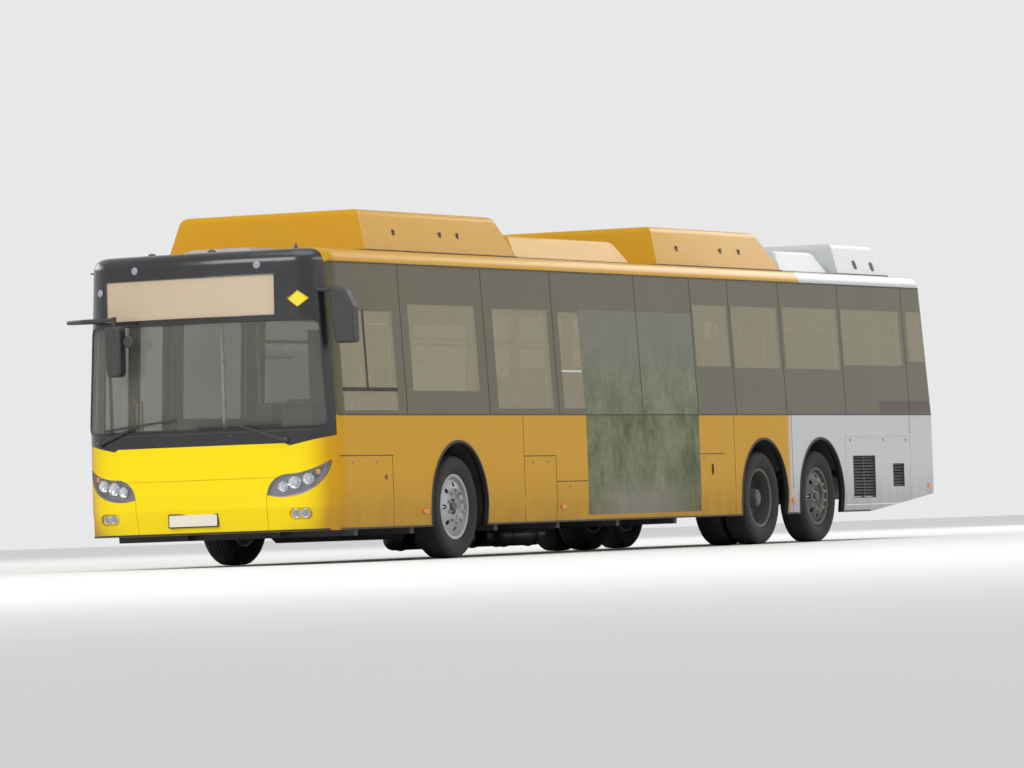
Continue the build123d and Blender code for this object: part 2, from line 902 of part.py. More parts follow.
# Wheel housings inside the cabin and the floor between them
housings = (
    # axle, inner face, lower edge
    (front_axle_x, front_liner_inner, low_floor_z - floor_t),
    (drive_axle_x, rear_liner_inner, high_floor_z - floor_t),
    (tag_axle_x, rear_liner_inner, high_floor_z - floor_t),
)


def housing_outline(axle_x, radius, low_z):
    """The side view of a wheel housing: half round above, straight below."""
    with Locations((axle_x, wheel_z)):
        Circle(radius)
    with Locations((axle_x, wheel_z - radius)):
        Rectangle(2 * radius, 2 * radius)
    with Locations((axle_x, low_z - 2 * radius)):
        Rectangle(3 * radius, 4 * radius, mode=Mode.SUBTRACT)


def wheel_housing(axle_x, inner_y, low_z, side):
    """A thin box over one wheel, open to the wheel and below."""
    with BuildPart() as housing:
        with BuildSketch(Plane.XZ.offset(-side * inner_y)):
            housing_outline(axle_x, liner_radius, low_z)
        extrude(amount=-side * (half_width - inner_y))
        with BuildSketch(Plane.XZ.offset(-side * (inner_y + liner))):
            housing_outline(axle_x, liner_radius - liner, low_z - overcut)
        extrude(amount=-side * half_width, mode=Mode.SUBTRACT)
        add(inner_form, mode=Mode.INTERSECT)
    return housing.part


boxes = [wheel_housing(*row, side) for row in housings for side in (1, -1)]
with BuildPart() as wheel_housings:
    add(boxes)
keep("wheel_housings", wheel_housings)

step_z = (low_floor_z + high_floor_z) / 2
step_rear = step_front + step_depth
floor_decks = (
    # front edge, rear edge, top face
    (-front_overhang, step_front, low_floor_z),
    (step_front, step_rear, step_z),
    (step_rear, bay_front, high_floor_z),
    (bay_front, body_length, bay_floor_z),
)
with BuildPart() as floor:
    for front, rear, top in floor_decks:
        span_box(
            (behind(rear) + fit_gap, behind(front)),
            (-half_width, half_width),
            (top - floor_t, top),
        )
    for (_, _, low), (edge, _, high) in zip(floor_decks, floor_decks[1:]):
        span_box(
            (behind(edge + floor_t), behind(edge)),
            (-half_width, half_width),
            (low - floor_t, high - floor_t - fit_gap),
        )
    for axle_x, inner_y, low_z in housings:
        for side in (1, -1):
            with BuildSketch(Plane.XZ.offset(-side * inner_y)):
                housing_outline(axle_x, liner_radius, low_z)
            extrude(amount=-side * half_width, mode=Mode.SUBTRACT)
    add(inner_form, mode=Mode.INTERSECT)
    for post_x in post_places:
        with Locations((post_x, post_y, low_floor_z)):
            Cylinder(pivot_r + spindle_gap, 2 * (pivot_length + 1), mode=Mode.SUBTRACT)
keep("floor", floor)

# Frame under the floor: two kicked-up rails with cross members out to the walls
low_under_z = low_floor_z - floor_t
high_under_z = high_floor_z - floor_t
kick_front = step_rear + floor_t
cross_members = (
    # behind the front axle, half reach, top height
    (-2050, half_width, low_under_z),
    (-900, half_width, low_under_z),
    (900, half_width, low_under_z),
    (2300, half_width, low_under_z),
    (3700, half_width, low_under_z),
    (5100, half_width, low_under_z),
    (6330, rail_y, high_under_z),
    (8035, half_width, high_under_z),
    (9650, half_width, high_under_z),
    (11850, half_width, high_under_z),
)
with BuildPart() as underframe:
    for side in (1, -1):
        with BuildSketch(Plane.XZ.offset(-side * rail_y - rail_w / 2)):
            with BuildLine():
                Polyline(
                    (behind(350), low_under_z),
                    (behind(kick_front), low_under_z),
                    (behind(kick_front), high_under_z),
                    (behind(11950), high_under_z),
                    (behind(11950), high_under_z - rail_h),
                    (behind(kick_front + 450), high_under_z - rail_h),
                    (behind(kick_front + 250), low_under_z - rail_h),
                    (behind(350), low_under_z - rail_h),
                    close=True,
                )
            make_face()
            with Locations((behind(-1300), low_under_z - rail_h / 2)):
                Rectangle(1800, rail_h)
        extrude(amount=rail_w)
    rail_inner = rail_y - rail_w / 2 - fit_gap
    rail_outer = rail_y + rail_w / 2 + fit_gap
    for place, reach, top_z in cross_members:
        member_x = (behind(place) - 40, behind(place) + 40)
        member_z = (top_z - rail_h, top_z)
        span_box(member_x, (-rail_inner, rail_inner), member_z)
        if reach > rail_outer:
            for side in (1, -1):
                span_box(member_x, side_range(side, rail_outer, reach), member_z)
    for place, _, top_z in (cross_members[0], cross_members[-1]):
        with Locations((behind(place), 0, top_z - rail_h / 2)):
            Cylinder(tow_bore_r, 2 * rail_h, mode=Mode.SUBTRACT)
    add(inner_form, mode=Mode.INTERSECT)
    add(tail_ramp.part, mode=Mode.SUBTRACT)
keep("underframe", underframe)

# Engine block between the rails, on four feet
engine_front = 9750.0
engine_length = 1900.0
engine_half = 400.0
engine_z = (440.0, 1040.0)
engine_foot = 50.0
with BuildPart() as engine:
    x_range = (behind(engine_front + engine_length), behind(engine_front))
    span_box(x_range, (-engine_half, engine_half), engine_z)
    chamfer(engine.edges().filter_by(Axis.X), 60)
    for place in (engine_front + 250, engine_front + engine_length - 250):
        span_box(
            (behind(place) - 60, behind(place) + 60),
            (-rail_y - rail_w / 2, rail_y + rail_w / 2),
            (high_under_z, high_under_z + engine_foot),
        )
keep("engine", engine)

# Axles
beam_low_z = 195.0
beam_depth = 100.0
beam_half_x = 45.0
spring_beam_half = 520.0
spring_beam_h = 70.0
spring_beam_top = 450.0
tube_r = 75.0
diff_r = 190.0


def axle_ring(points, axle_x, side):
    """Revolves a profile given as (across, radius) about one wheel axis."""
    with BuildSketch(Plane.YZ.offset(axle_x)) as profile:
        with BuildLine():
            Polyline(*[(side * across, wheel_z + radius) for across, radius in points], close=True)
        make_face()
    revolve(profile.sketch, axis=Axis((axle_x, 0, wheel_z), (0, 1, 0)))


spindle_end = wheel_y + 48.0
with BuildPart() as front_beam:
    with BuildSketch(Plane.YZ.offset(front_axle_x - beam_half_x)):
        with BuildLine():
            left_half = (
                # across, height
                (0, beam_low_z),
                (640, beam_low_z),
                (850, wheel_z - beam_depth),
                (kingpin_y, wheel_z - beam_depth / 2),
                (kingpin_y, wheel_z + beam_depth / 2),
                (820, wheel_z),
                (600, beam_low_z + beam_depth),
                (0, beam_low_z + beam_depth),
            )
            Polyline(*left_half, close=True)
        make_face()
        mirror(about=Plane.YZ)
    extrude(amount=2 * beam_half_x)
    with Locations((front_axle_x, kingpin_y, wheel_z), (front_axle_x, -kingpin_y, wheel_z)):
        Cylinder(eye_r, 2 * eye_half)
        Cylinder(kingpin_r + spindle_gap, 2 * eye_half + overcut, mode=Mode.SUBTRACT)


def rear_beam(axle_x, inner_end, bulge):
    """A live or dead rear axle: tube, bulge in the middle, spindles and two spring beams."""
    left_half = (
        # across, radius
        (0, 0),
        (0, bulge),
        (0.7 * bulge, bulge),
        (1.6 * bulge, tube_r),
        (inner_end, tube_r),
        (inner_end, spindle_r),
        (spindle_end, spindle_r),
        (spindle_end, 0),
    )
    with BuildPart() as beam:
        for side in (1, -1):
            axle_ring(left_half, axle_x, side)
            span_box(
                (axle_x - spring_beam_half, axle_x + spring_beam_half),
                side_range(side, rail_y - rail_w / 2, rail_y + rail_w / 2),
                (spring_beam_top - spring_beam_h, spring_beam_top),
            )
    return beam.part


drive_beam = rear_beam(drive_axle_x, inner_wheel_y - 90, diff_r)
tag_beam = rear_beam(tag_axle_x, wheel_y - 170, tube_r)
with BuildPart() as axles:
    add([front_beam.part, drive_beam, tag_beam])
keep("axles", axles)

# Air springs: on the front beam they reach the housing's top, at the rear the rails
front_spring_y = 735.0
spring_r = 105.0
rear_spring_x = 430.0
rail_under_z = high_under_z - rail_h
tower_rows = (
    # radius, height
    (0, wheel_z - 200),
    (60, wheel_z - 200),
    (60, wheel_z + 30),
    (spring_r, wheel_z + 90),
    (spring_r, wheel_z + 330),
    (70, wheel_z + 360),
    (70, wheel_z + arch_radius + 100),
    (0, wheel_z + arch_radius + 100),
)


def spring_tower(side):
    """A front air spring with its tower, from the axle beam to the housing's top."""
    with BuildPart() as tower:
        with BuildSketch(Plane.YZ.offset(front_axle_x)):
            with BuildLine():
                Polyline(
                    *[(side * front_spring_y + radius, height) for radius, height in tower_rows],
                    close=True,
                )
            make_face()
        revolve(axis=Axis((front_axle_x, side * front_spring_y, 0), (0, 0, 1)))
        add(front_beam.part, mode=Mode.SUBTRACT)
        with BuildSketch(Plane.XZ.offset(-side * (front_liner_inner + liner))):
            housing_outline(front_axle_x, arch_radius + liner_gap, 0)
        extrude(amount=-side * half_width, mode=Mode.INTERSECT)
    return tower.part.solids().sort_by(Axis.Z)[-1]


towers = [spring_tower(side) for side in (1, -1)]
with BuildPart() as air_springs:
    add(towers)
    for side in (1, -1):
        for axle_x in (drive_axle_x, tag_axle_x):
            for way in (1, -1):
                with Locations(
                    (axle_x + way * rear_spring_x, side * rail_y, (spring_beam_top + rail_under_z) / 2)
                ):
                    Cylinder(spring_r, rail_under_z - spring_beam_top)
keep("air_springs", air_springs)

# Knuckles: a fork about the beam's eye, the kingpin and the wheel's spindle
fork_half = eye_half + running_gap
fork_lug = 40.0
fork_r = 46.0
web_from = eye_r + 10.0
web_to = 95.0
for name, side in (("knuckle_left", 1), ("knuckle_right", -1)):
    with BuildPart() as knuckle:
        pin_y = side * kingpin_y
        with Locations((front_axle_x, pin_y, wheel_z)):
            Cylinder(kingpin_r, 2 * (fork_half + fork_lug))
        for way in (1, -1):
            lug_z = wheel_z + way * (fork_half + fork_lug / 2)
            with Locations((front_axle_x, pin_y, lug_z)):
                Cylinder(fork_r, fork_lug)
            span_box(
                (front_axle_x - fork_r, front_axle_x + fork_r),
                (pin_y, pin_y + side * web_to),
                (lug_z - fork_lug / 2, lug_z + fork_lug / 2),
            )
        span_box(
            (front_axle_x - fork_r, front_axle_x + fork_r),
            (pin_y + side * web_from, pin_y + side * web_to),
            (wheel_z - fork_half - fork_lug, wheel_z + fork_half + fork_lug),
        )
        with BuildSketch(Plane.XZ.offset(-side * (kingpin_y + web_to))):
            with Locations((front_axle_x, wheel_z)):
                Circle(spindle_r)
        extrude(amount=-side * (spindle_end - kingpin_y - web_to))
    keep(name, knuckle)

# Tyres and rims
single_rim = (
    # across from the wheel's middle, radius
    (-108, 292),
    (-108, 304),
    (-98, 304),
    (-98, bead_radius - fit_gap),
    (98, bead_radius - fit_gap),
    (98, 304),
    (108, 304),
    (108, 292),
    (104, 276),
    (74, 268),
    (92, 228),
    (118, 175),
    (118, 128),
    (98, 120),
    (98, hub_r - 30),
    (92, 74),
    (58, 66),
    (58, 0),
    (50, 0),
    (50, spindle_r + spindle_gap),
    (-6, spindle_r + spindle_gap),
    (-6, hub_r),
    (80, hub_r + 12),
    (104, 140),
    (104, 168),
    (78, 222),
    (60, 262),
    (40, 274),
    (-98, 276),
    (-104, 280),
)
twin_rim_half = (
    (-108, 292),
    (-108, 304),
    (-98, 304),
    (-98, bead_radius - fit_gap),
    (98, bead_radius - fit_gap),
    (98, 304),
    (108, 304),
    (108, 292),
    (104, 280),
    (98, 276),
    (-60, 274),
    (-90, 262),
    (-140, 214),
    (-twin_spacing / 2, 200),
    (-twin_spacing / 2, 120),
)


def tyre_ring(axle_x, mid):
    """One tyre about its axle, its middle plane at a given Y."""
    half_bead = bead_half - fit_gap
    half_tyre = tyre_width / 2
    with BuildPart() as ring:
        with BuildSketch(Plane.YZ.offset(axle_x)):
            with BuildLine():
                foot_a = Line((mid - half_bead, wheel_z + 306), (mid - half_bead, wheel_z + bead_radius))
                bead = Line(foot_a @ 1, (mid + half_bead, wheel_z + bead_radius))
                foot_b = Line(bead @ 1, (mid + half_bead, wheel_z + 306))
                bulge = (mid + half_tyre, wheel_z + 385)
                wall_b = ThreePointArc(foot_b @ 1, bulge, (mid + half_tyre - 16, wheel_z + 456))
                shoulder_b = Line(wall_b @ 1, (mid + half_tyre - 36, wheel_z + tyre_radius - 5))
                crown_end = (mid - half_tyre + 36, wheel_z + tyre_radius - 5)
                crown = ThreePointArc(shoulder_b @ 1, (mid, wheel_z + tyre_radius), crown_end)
                shoulder_a = Line(crown @ 1, (mid - half_tyre + 16, wheel_z + 456))
                ThreePointArc(shoulder_a @ 1, (mid - half_tyre, wheel_z + 385), foot_a @ 0)
            make_face()
        revolve(axis=Axis((axle_x, 0, wheel_z), (0, 1, 0)))
    return ring.part


hand_hole_r = 24.0
hand_hole_ring = 205.0
hand_hole_count = 8
for name, axle_x in (("front", front_axle_x), ("tag", tag_axle_x)):
    for side_name, side in (("left", 1), ("right", -1)):
        with BuildPart() as tyre:
            add(tyre_ring(axle_x, side * wheel_y))
        keep("tyre_" + name + "_" + side_name, tyre)
        with BuildPart() as rim:
            axle_ring([(wheel_y + across, radius) for across, radius in single_rim], axle_x, side)
            with BuildSketch(Plane.XZ.offset(-side * wheel_y)):
                with Locations((axle_x, wheel_z)):
                    with PolarLocations(hand_hole_ring, hand_hole_count):
                        Circle(hand_hole_r)
            extrude(amount=-side * 200, mode=Mode.SUBTRACT)
        keep("rim_" + name + "_" + side_name, rim)

for side_name, side in (("left", 1), ("right", -1)):
    twins = [tyre_ring(drive_axle_x, side * across) for across in (wheel_y, inner_wheel_y)]
    with BuildPart() as tyre:
        add(twins)
    keep("tyre_drive_" + side_name, tyre)
    with BuildPart() as rim:
        meet_y = (wheel_y + inner_wheel_y) / 2
        outer_rows = [(wheel_y + across, radius) for across, radius in twin_rim_half]
        inner_rows = [(inner_wheel_y - across, radius) for across, radius in twin_rim_half]
        axle_ring(outer_rows + [(meet_y - 1, 120), (meet_y - 1, 200)], drive_axle_x, side)
        axle_ring(inner_rows + [(meet_y + 1, 120), (meet_y + 1, 200)], drive_axle_x, side)
        hub_rows = (
            (meet_y - 150, spindle_r + spindle_gap),
            (meet_y - 150, hub_r),
            (meet_y - 40, 150),
            (meet_y + 40, 150),
            (meet_y + 120, hub_r),
            (spindle_end + 20, 90),
            (spindle_end + 20, 0),
            (spindle_end + 2, 0),
            (spindle_end + 2, spindle_r + spindle_gap),
        )
        axle_ring(hub_rows, drive_axle_x, side)
    keep("rim_drive_" + side_name, rim)

# Mirrors: the left one beside the nose's corner, the right one hung ahead of the windscreen
mirror_ear = (
    # across, height
    (1268, 2497),
    (1425, 2452),
    (1505, 2290),
    (1512, 1968),
    (1322, 1968),
    (1280, 2215),
)
mirror_hung = (
    # across, height
    (-842, 2205),
    (-672, 2205),
    (-682, 1745),
    (-828, 1745),
)
mirror_depth = 110.0
mirror_round = 26.0
ear_arm_z = 2455.0
hung_arm_z = 2264.0
wide_mirror_at = (-612.0, 2060.0)
wide_mirror_r = 56.0


def mirror_shell(x_rear, outline_points, corner):
    """A mirror's housing: a rounded outline with a domed front edge."""
    with BuildPart() as housing:
        with BuildSketch(Plane.YZ.offset(x_rear)) as outline:
            with BuildLine():
                Polyline(*outline_points, close=True)
            make_face()
            fillet(outline.vertices(), corner)
        extrude(amount=mirror_depth)
        fillet(housing.faces().sort_by(Axis.X)[-1].edges(), mirror_round)
    return housing.part


with BuildPart() as left_mirror:
    add(mirror_shell(nose_seam_x + 5, mirror_ear, 32))
    with BuildLine(Plane.XY.offset(ear_arm_z)) as left_arm:
        Line((nose_seam_x + 60, half_width - 200), (nose_seam_x + 60, half_width + 60))
    with BuildSketch(Plane(left_arm.line @ 0, z_dir=left_arm.line % 0)):
        Circle(20)
    sweep()
    add(outer_form, mode=Mode.SUBTRACT)
with BuildPart() as right_mirror:
    add(mirror_shell(nose_x + 20, mirror_hung, 48))
    with BuildLine(Plane.XY.offset(hung_arm_z)) as right_arm:
        FilletPolyline(
            (nose_seam_x + 80, -half_width + 160),
            (nose_seam_x + 160, -half_width - 130),
            (nose_x + 40, -half_width + 180),
            (nose_x + 75, -757),
            radius=45,
        )
    with BuildSketch(Plane(right_arm.line @ 0, z_dir=right_arm.line % 0)):
        Circle(18)
    sweep()
    with Locations((nose_x + 75, -757, (hung_arm_z + 2180) / 2)):
        Cylinder(23, hung_arm_z - 2180 + 50)
    with Locations(Location((nose_x + 75, *wide_mirror_at), (0, 90, 0))):
        Cylinder(wide_mirror_r, 34)
    fillet(right_mirror.edges().filter_by(GeomType.CIRCLE).filter_by(
        lambda edge: abs(edge.radius - wide_mirror_r) < 0.5
    ).sort_by(Axis.X)[-1], 14)
    with Locations(Location((nose_x + 75, -660, wide_mirror_at[1]), (90, 0, 0))):
        Cylinder(9, 70)
    add(outer_form, mode=Mode.SUBTRACT)
with BuildPart() as mirrors:
    add(left_mirror.part.solids().sort_by(Axis.Y)[-1])
    add(right_mirror.part.solids().sort_by(Axis.X)[-1])
keep("mirrors", mirrors)

# Wipers parked along the foot of the windscreen, each cut from a skin that runs ahead of the nose
wiper_rows = (
    # pivot, arm's end, blade's two ends, each as across and height
    (865, 1120, 420, 1272, 20, 1266, 820, 1278),
    (-1045, 1150, -600, 1300, -200, 1338, -990, 1264),
)
wiper_pivot_r = 26.0
blade_half = 9.0


def strip(start, end, half_start, half_end):
    """The corners of a tapered strip between two places."""
    run, rise = end[0] - start[0], end[1] - start[1]
    length = sqrt(run**2 + rise**2)
    across = (-rise / length, run / length)
    return [
        (place[0] + way * half * across[0], place[1] + way * half * across[1])
        for place, half, way in (
            (start, half_start, 1),
            (end, half_end, 1),
            (end, half_end, -1),
            (start, half_start, -1),
        )
    ]


def wiper(row):
    """A wiper: its spindle cover on the cowl, a tapered arm and the blade's carrier."""
    pivot, arm_end, blade_a, blade_b = row[0:2], row[2:4], row[4:6], row[6:8]
    with BuildPart() as arm:
        with BuildSketch(Plane.YZ.offset(nose_seam_x)):
            for corners in (
                strip(pivot, arm_end, 17, 10),
                strip(blade_a, blade_b, blade_half, blade_half),
            ):
                with BuildLine():
                    Polyline(*corners, close=True)
                make_face()
        extrude(amount=overcut + nose_seam_back)
        add(wiper_low, mode=Mode.SUBTRACT)
        with BuildSketch(Plane.YZ.offset(nose_seam_x)) as cover:
            with Locations(pivot):
                Circle(wiper_pivot_r)
        extrude(cover.sketch, amount=overcut + nose_seam_back)
        add(wiper_high, mode=Mode.INTERSECT)
        add(outer_form, mode=Mode.SUBTRACT)
    return arm.part


arms = [wiper(row) for row in wiper_rows]
with BuildPart() as wipers:
    add(arms)
keep("wipers", wipers)

# Driver's place
cab_front = -2230.0
cab_rear = -950.0
cab_aisle_y = 240.0
cab_floor_z = 620.0
cab_door_z = 1480.0
cab_glass_z = 2150.0
cab_wall = 30.0
with BuildPart() as driver_cab:
    span_box((behind(cab_rear), behind(cab_front)), (cab_aisle_y, body_width), (low_floor_z, cab_floor_z))
    span_box(
        (behind(cab_rear), behind(cab_rear) + cab_wall),
        (cab_aisle_y, body_width),
        (cab_floor_z, cab_glass_z),
    )
    span_box(
        (behind(cab_rear), behind(cab_front + 330)),
        (cab_aisle_y, cab_aisle_y + cab_wall),
        (cab_floor_z, cab_door_z),
    )
    add(inner_form, mode=Mode.INTERSECT)
keep("driver_cab", driver_cab)

dash_rows = (
    # behind the front axle, height
    (-2900, 1000),
    (-2900, 1120),
    (-2330, 1190),
    (-2120, 1250),
    (-2060, 1190),
    (-2110, 960),
    (-2240, 900),
    (-2240, cab_floor_z + 150),
    (-2900, cab_floor_z + 150),
)
with BuildPart() as dashboard:
    with BuildSketch(Plane.XZ.offset(-half_width)):
        with BuildLine():
            Polyline(*[(behind(place), height) for place, height in dash_rows], close=True)
        make_face()
    extrude(amount=half_width + 480)
    add(inner_form, mode=Mode.INTERSECT)
keep("dashboard", dashboard)

wheel_hub = (behind(-1960), 720.0, 1385.0)
column_tilt = 25.0
steering_r = 225.0
with BuildPart() as steering_wheel:
    rim_plane = Plane(
        origin=wheel_hub, x_dir=(0, 1, 0), z_dir=Vector(-1, 0, 0).rotate(Axis.Y, 90 - column_tilt)
    )
    with Locations(rim_plane):
        Torus(steering_r, 15)
        Cylinder(48, 40)
        with PolarLocations(0, 3):
            Box(steering_r, 26, 14, align=(Align.MIN, Align.CENTER, Align.CENTER))
        Cylinder(28, 420, align=(Align.CENTER, Align.CENTER, Align.MAX))
    add(dashboard.part, mode=Mode.SUBTRACT)
keep("steering_wheel", steering_wheel)

# Seats: one side profile, carried across a bench of one or two places
seat_profile = (
    # behind the seat's front edge, above its floor
    (40, 0),
    (260, 0),
    (300, 330),
    (420, 350),
    (470, 470),
    (560, 1080),
    (505, 1100),
    (400, 500),
    (30, 470),
    (0, 440),
    (20, 390),
    (90, 370),
)
seat_rows = (
    # front edge behind the front axle, inner edge, outer edge, side, floor height
    (1000, 330, 1170, 1, low_floor_z),
    (1760, 330, 1170, 1, low_floor_z),
    (4300, 330, 1170, 1, low_floor_z),
    (1000, 330, 1170, -1, low_floor_z),
    (1720, 330, 1170, -1, low_floor_z),
    (4200, 330, 1170, -1, low_floor_z),
    (6020, 330, 1150, 1, high_floor_z),
    (6020, 330, 1150, -1, high_floor_z),
    (9560, 330, 1150, 1, bay_floor_z),
    (9560, 330, 1150, -1, bay_floor_z),
    (10360, 330, 1150, 1, bay_floor_z),
    (10360, 330, 1150, -1, bay_floor_z),
    (11200, 0, 1130, 1, bay_floor_z),
    (11200, 3, 1130, -1, bay_floor_z),
    (-1610, 480, 960, 1, cab_floor_z),
)


def bench(front, inner_y, outer_y, side, floor_z):
    """One seat or pair of seats, facing forward."""
    with BuildPart() as seat:
        with BuildSketch(Plane.XZ.offset(-side * inner_y)):
            with BuildLine():
                Polyline(
                    *[(behind(front + back), floor_z + height) for back, height in seat_profile],
                    close=True,
                )
            make_face()
        extrude(amount=-side * (outer_y - inner_y))
    return seat.part


benches = [bench(*row) for row in seat_rows]
with BuildPart() as seats:
    add(benches)
keep("seats", seats)

# Hand rails: a rail under the ceiling each side with posts down to the floors
rail_z = 2080.0
hand_y = 420.0
hand_r = 17.0
post_rows = (
    # behind the front axle, side, foot height
    (-700, -1, low_floor_z),
    (800, 1, low_floor_z),
    (800, -1, low_floor_z),
    (2470, 1, low_floor_z),
    (2470, -1, low_floor_z),
    (4060, 1, low_floor_z),
    (4060, -1, low_floor_z),
    (5900, 1, high_floor_z),
    (5900, -1, high_floor_z),
    (8035, 1, high_floor_z),
    (8035, -1, high_floor_z),
    (9400, 1, high_floor_z),
    (9400, -1, high_floor_z),
)
with BuildPart() as handrails:
    for side, rail_front in ((1, 700), (-1, -800)):
        with Locations(Location((behind((rail_front + 9500) / 2), side * hand_y, rail_z), (0, 90, 0))):
            Cylinder(hand_r, 9500 - rail_front)
    for place, side, foot_z in post_rows:
        with Locations((behind(place), side * hand_y, (foot_z + ceiling_z) / 2)):
            Cylinder(hand_r, ceiling_z - foot_z)
keep("handrails", handrails)
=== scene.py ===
"""The city bus's looks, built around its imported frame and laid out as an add-on.

Lengths are in metres. X points forward, Y to the bus's left and Z up.
"""

from fnmatch import filter as matching
from math import atan2, cos, pi, radians, sin, sqrt

import bmesh
import bpy
from bpy.props import FloatProperty, FloatVectorProperty, IntProperty, PointerProperty
from bpy.types import Operator, Panel, PropertyGroup
from mathutils import Matrix, Vector


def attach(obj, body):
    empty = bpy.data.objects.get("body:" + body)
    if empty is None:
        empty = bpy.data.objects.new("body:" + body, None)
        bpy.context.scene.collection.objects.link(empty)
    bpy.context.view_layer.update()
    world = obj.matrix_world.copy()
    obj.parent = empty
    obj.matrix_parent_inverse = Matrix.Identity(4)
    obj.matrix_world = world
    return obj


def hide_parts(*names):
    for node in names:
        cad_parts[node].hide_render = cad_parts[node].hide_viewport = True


bl_info = {
    "name": "City bus looks",
    "version": (1, 0, 0),
    "blender": (4, 5, 0),
    "location": "View3D > Sidebar > City bus",
    "description": "Finishes, trim and cabin details for a three-axle city bus",
    "category": "Object",
}

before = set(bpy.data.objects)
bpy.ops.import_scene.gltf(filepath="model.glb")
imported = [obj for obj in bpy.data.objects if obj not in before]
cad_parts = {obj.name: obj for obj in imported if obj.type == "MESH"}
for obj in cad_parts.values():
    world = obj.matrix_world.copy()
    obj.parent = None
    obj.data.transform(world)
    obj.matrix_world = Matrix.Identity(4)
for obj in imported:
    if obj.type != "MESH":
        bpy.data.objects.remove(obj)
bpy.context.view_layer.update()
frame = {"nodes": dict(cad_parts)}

# Main places of the frame
LENGTH = 14.980
NOSE_X = (LENGTH - 0.150) / 2
TAIL_X = NOSE_X - LENGTH
FRONT_AXLE_X = NOSE_X - 2.790
DRIVE_AXLE_X = FRONT_AXLE_X - 7.270
TAG_AXLE_X = DRIVE_AXLE_X - 1.530
HALF = 1.275
WHEEL_Z = 0.478
WHEEL_Y = HALF - 0.035 - 0.138
INNER_WHEEL_Y = WHEEL_Y - 0.316
BELT_Z = 1.330
GUTTER_Z = 2.710
ROOF_Z = 2.837
SHOULDER = 0.120
SIDE_SLOPE = 0.048
LEVELS = (
    # height, half width, nose set back, tail set in
    (0.300, HALF - 0.013, 0.045, 0.030),
    (0.520, HALF, 0.0, 0.0),
    (BELT_Z, HALF, 0.015, 0.0),
    (ROOF_Z, HALF - SIDE_SLOPE * (ROOF_Z - BELT_Z), 0.060, 0.110),
)
NOSE_RADIUS, NOSE_CORNER = 4.5, 0.340
TAIL_RADIUS, TAIL_CORNER = 9.0, 0.160


def behind(distance):
    """X of a place that lies this far behind the front axle."""
    return FRONT_AXLE_X - distance


def level_at(height):
    """Half width, nose set-back and tail set-in of the hull at one height."""
    for low, high in zip(LEVELS, LEVELS[1:]):
        if height <= high[0]:
            break
    share = (height - low[0]) / (high[0] - low[0])
    return [a + share * (b - a) for a, b in zip(low[1:], high[1:])]


def end_depth(across, half, radius, corner):
    """How far the hull's end lies behind its middle, at one place across it."""
    across = min(abs(across), half - 1e-4)
    corner_at = half - corner
    if across <= corner_at * radius / (radius - corner):
        return radius - sqrt(radius**2 - across**2)
    centre = radius - sqrt((radius - corner) ** 2 - corner_at**2)
    return centre - sqrt(max(corner**2 - (across - corner_at) ** 2, 0))


def nose_at(across, height):
    """X of the hull's front surface."""
    half, back, _ = level_at(height)
    return NOSE_X - back - end_depth(across, half, NOSE_RADIUS, NOSE_CORNER)


def tail_at(across, height):
    """X of the hull's rear surface."""
    half, _, inward = level_at(height)
    return TAIL_X + inward + end_depth(across, half, TAIL_RADIUS, TAIL_CORNER)


def side_at(height):
    """Distance of the hull's side from its middle."""
    return level_at(height)[0]


# Finishes


class Flow:
    """A shader socket that takes part in Python sums; numbers mix in freely."""

    def __init__(self, finish, socket):
        self.finish = finish
        self.socket = socket

    def _maths(self, operation, first, second=0.0, third=0.0, clamp=False):
        settings = {"operation": operation, "use_clamp": clamp}
        return self.finish.node("ShaderNodeMath", settings, {0: first, 1: second, 2: third})

    def __add__(self, other):
        return self._maths("ADD", self, other)

    __radd__ = __add__

    def __sub__(self, other):
        return self._maths("SUBTRACT", self, other)

    def __rsub__(self, other):
        return self._maths("SUBTRACT", other, self)

    def __mul__(self, other):
        return self._maths("MULTIPLY", self, other)

    __rmul__ = __mul__

    def __truediv__(self, other):
        return self._maths("DIVIDE", self, other)

    def __abs__(self):
        return self._maths("ABSOLUTE", self)

    def __mod__(self, other):
        return self._maths("FLOORED_MODULO", self, other)

    def least(self, other):
        """The smaller of two values."""
        return self._maths("MINIMUM", self, other)

    def most(self, other):
        """The larger of two values."""
        return self._maths("MAXIMUM", self, other)

    def root(self):
        """The square root."""
        return self._maths("SQRT", self)

    def above(self, edge, soft=0.002):
        """0 below an edge and 1 above it, with a soft step between."""
        settings = {"interpolation_type": "SMOOTHSTEP"}
        values = {"Value": self, "From Min": edge - soft, "From Max": edge + soft}
        return self.finish.node("ShaderNodeMapRange", settings, values)

    def within(self, low, high, soft=0.002):
        """1 between two edges and 0 outside them."""
        return self.above(low, soft) * (1 - self.above(high, soft))


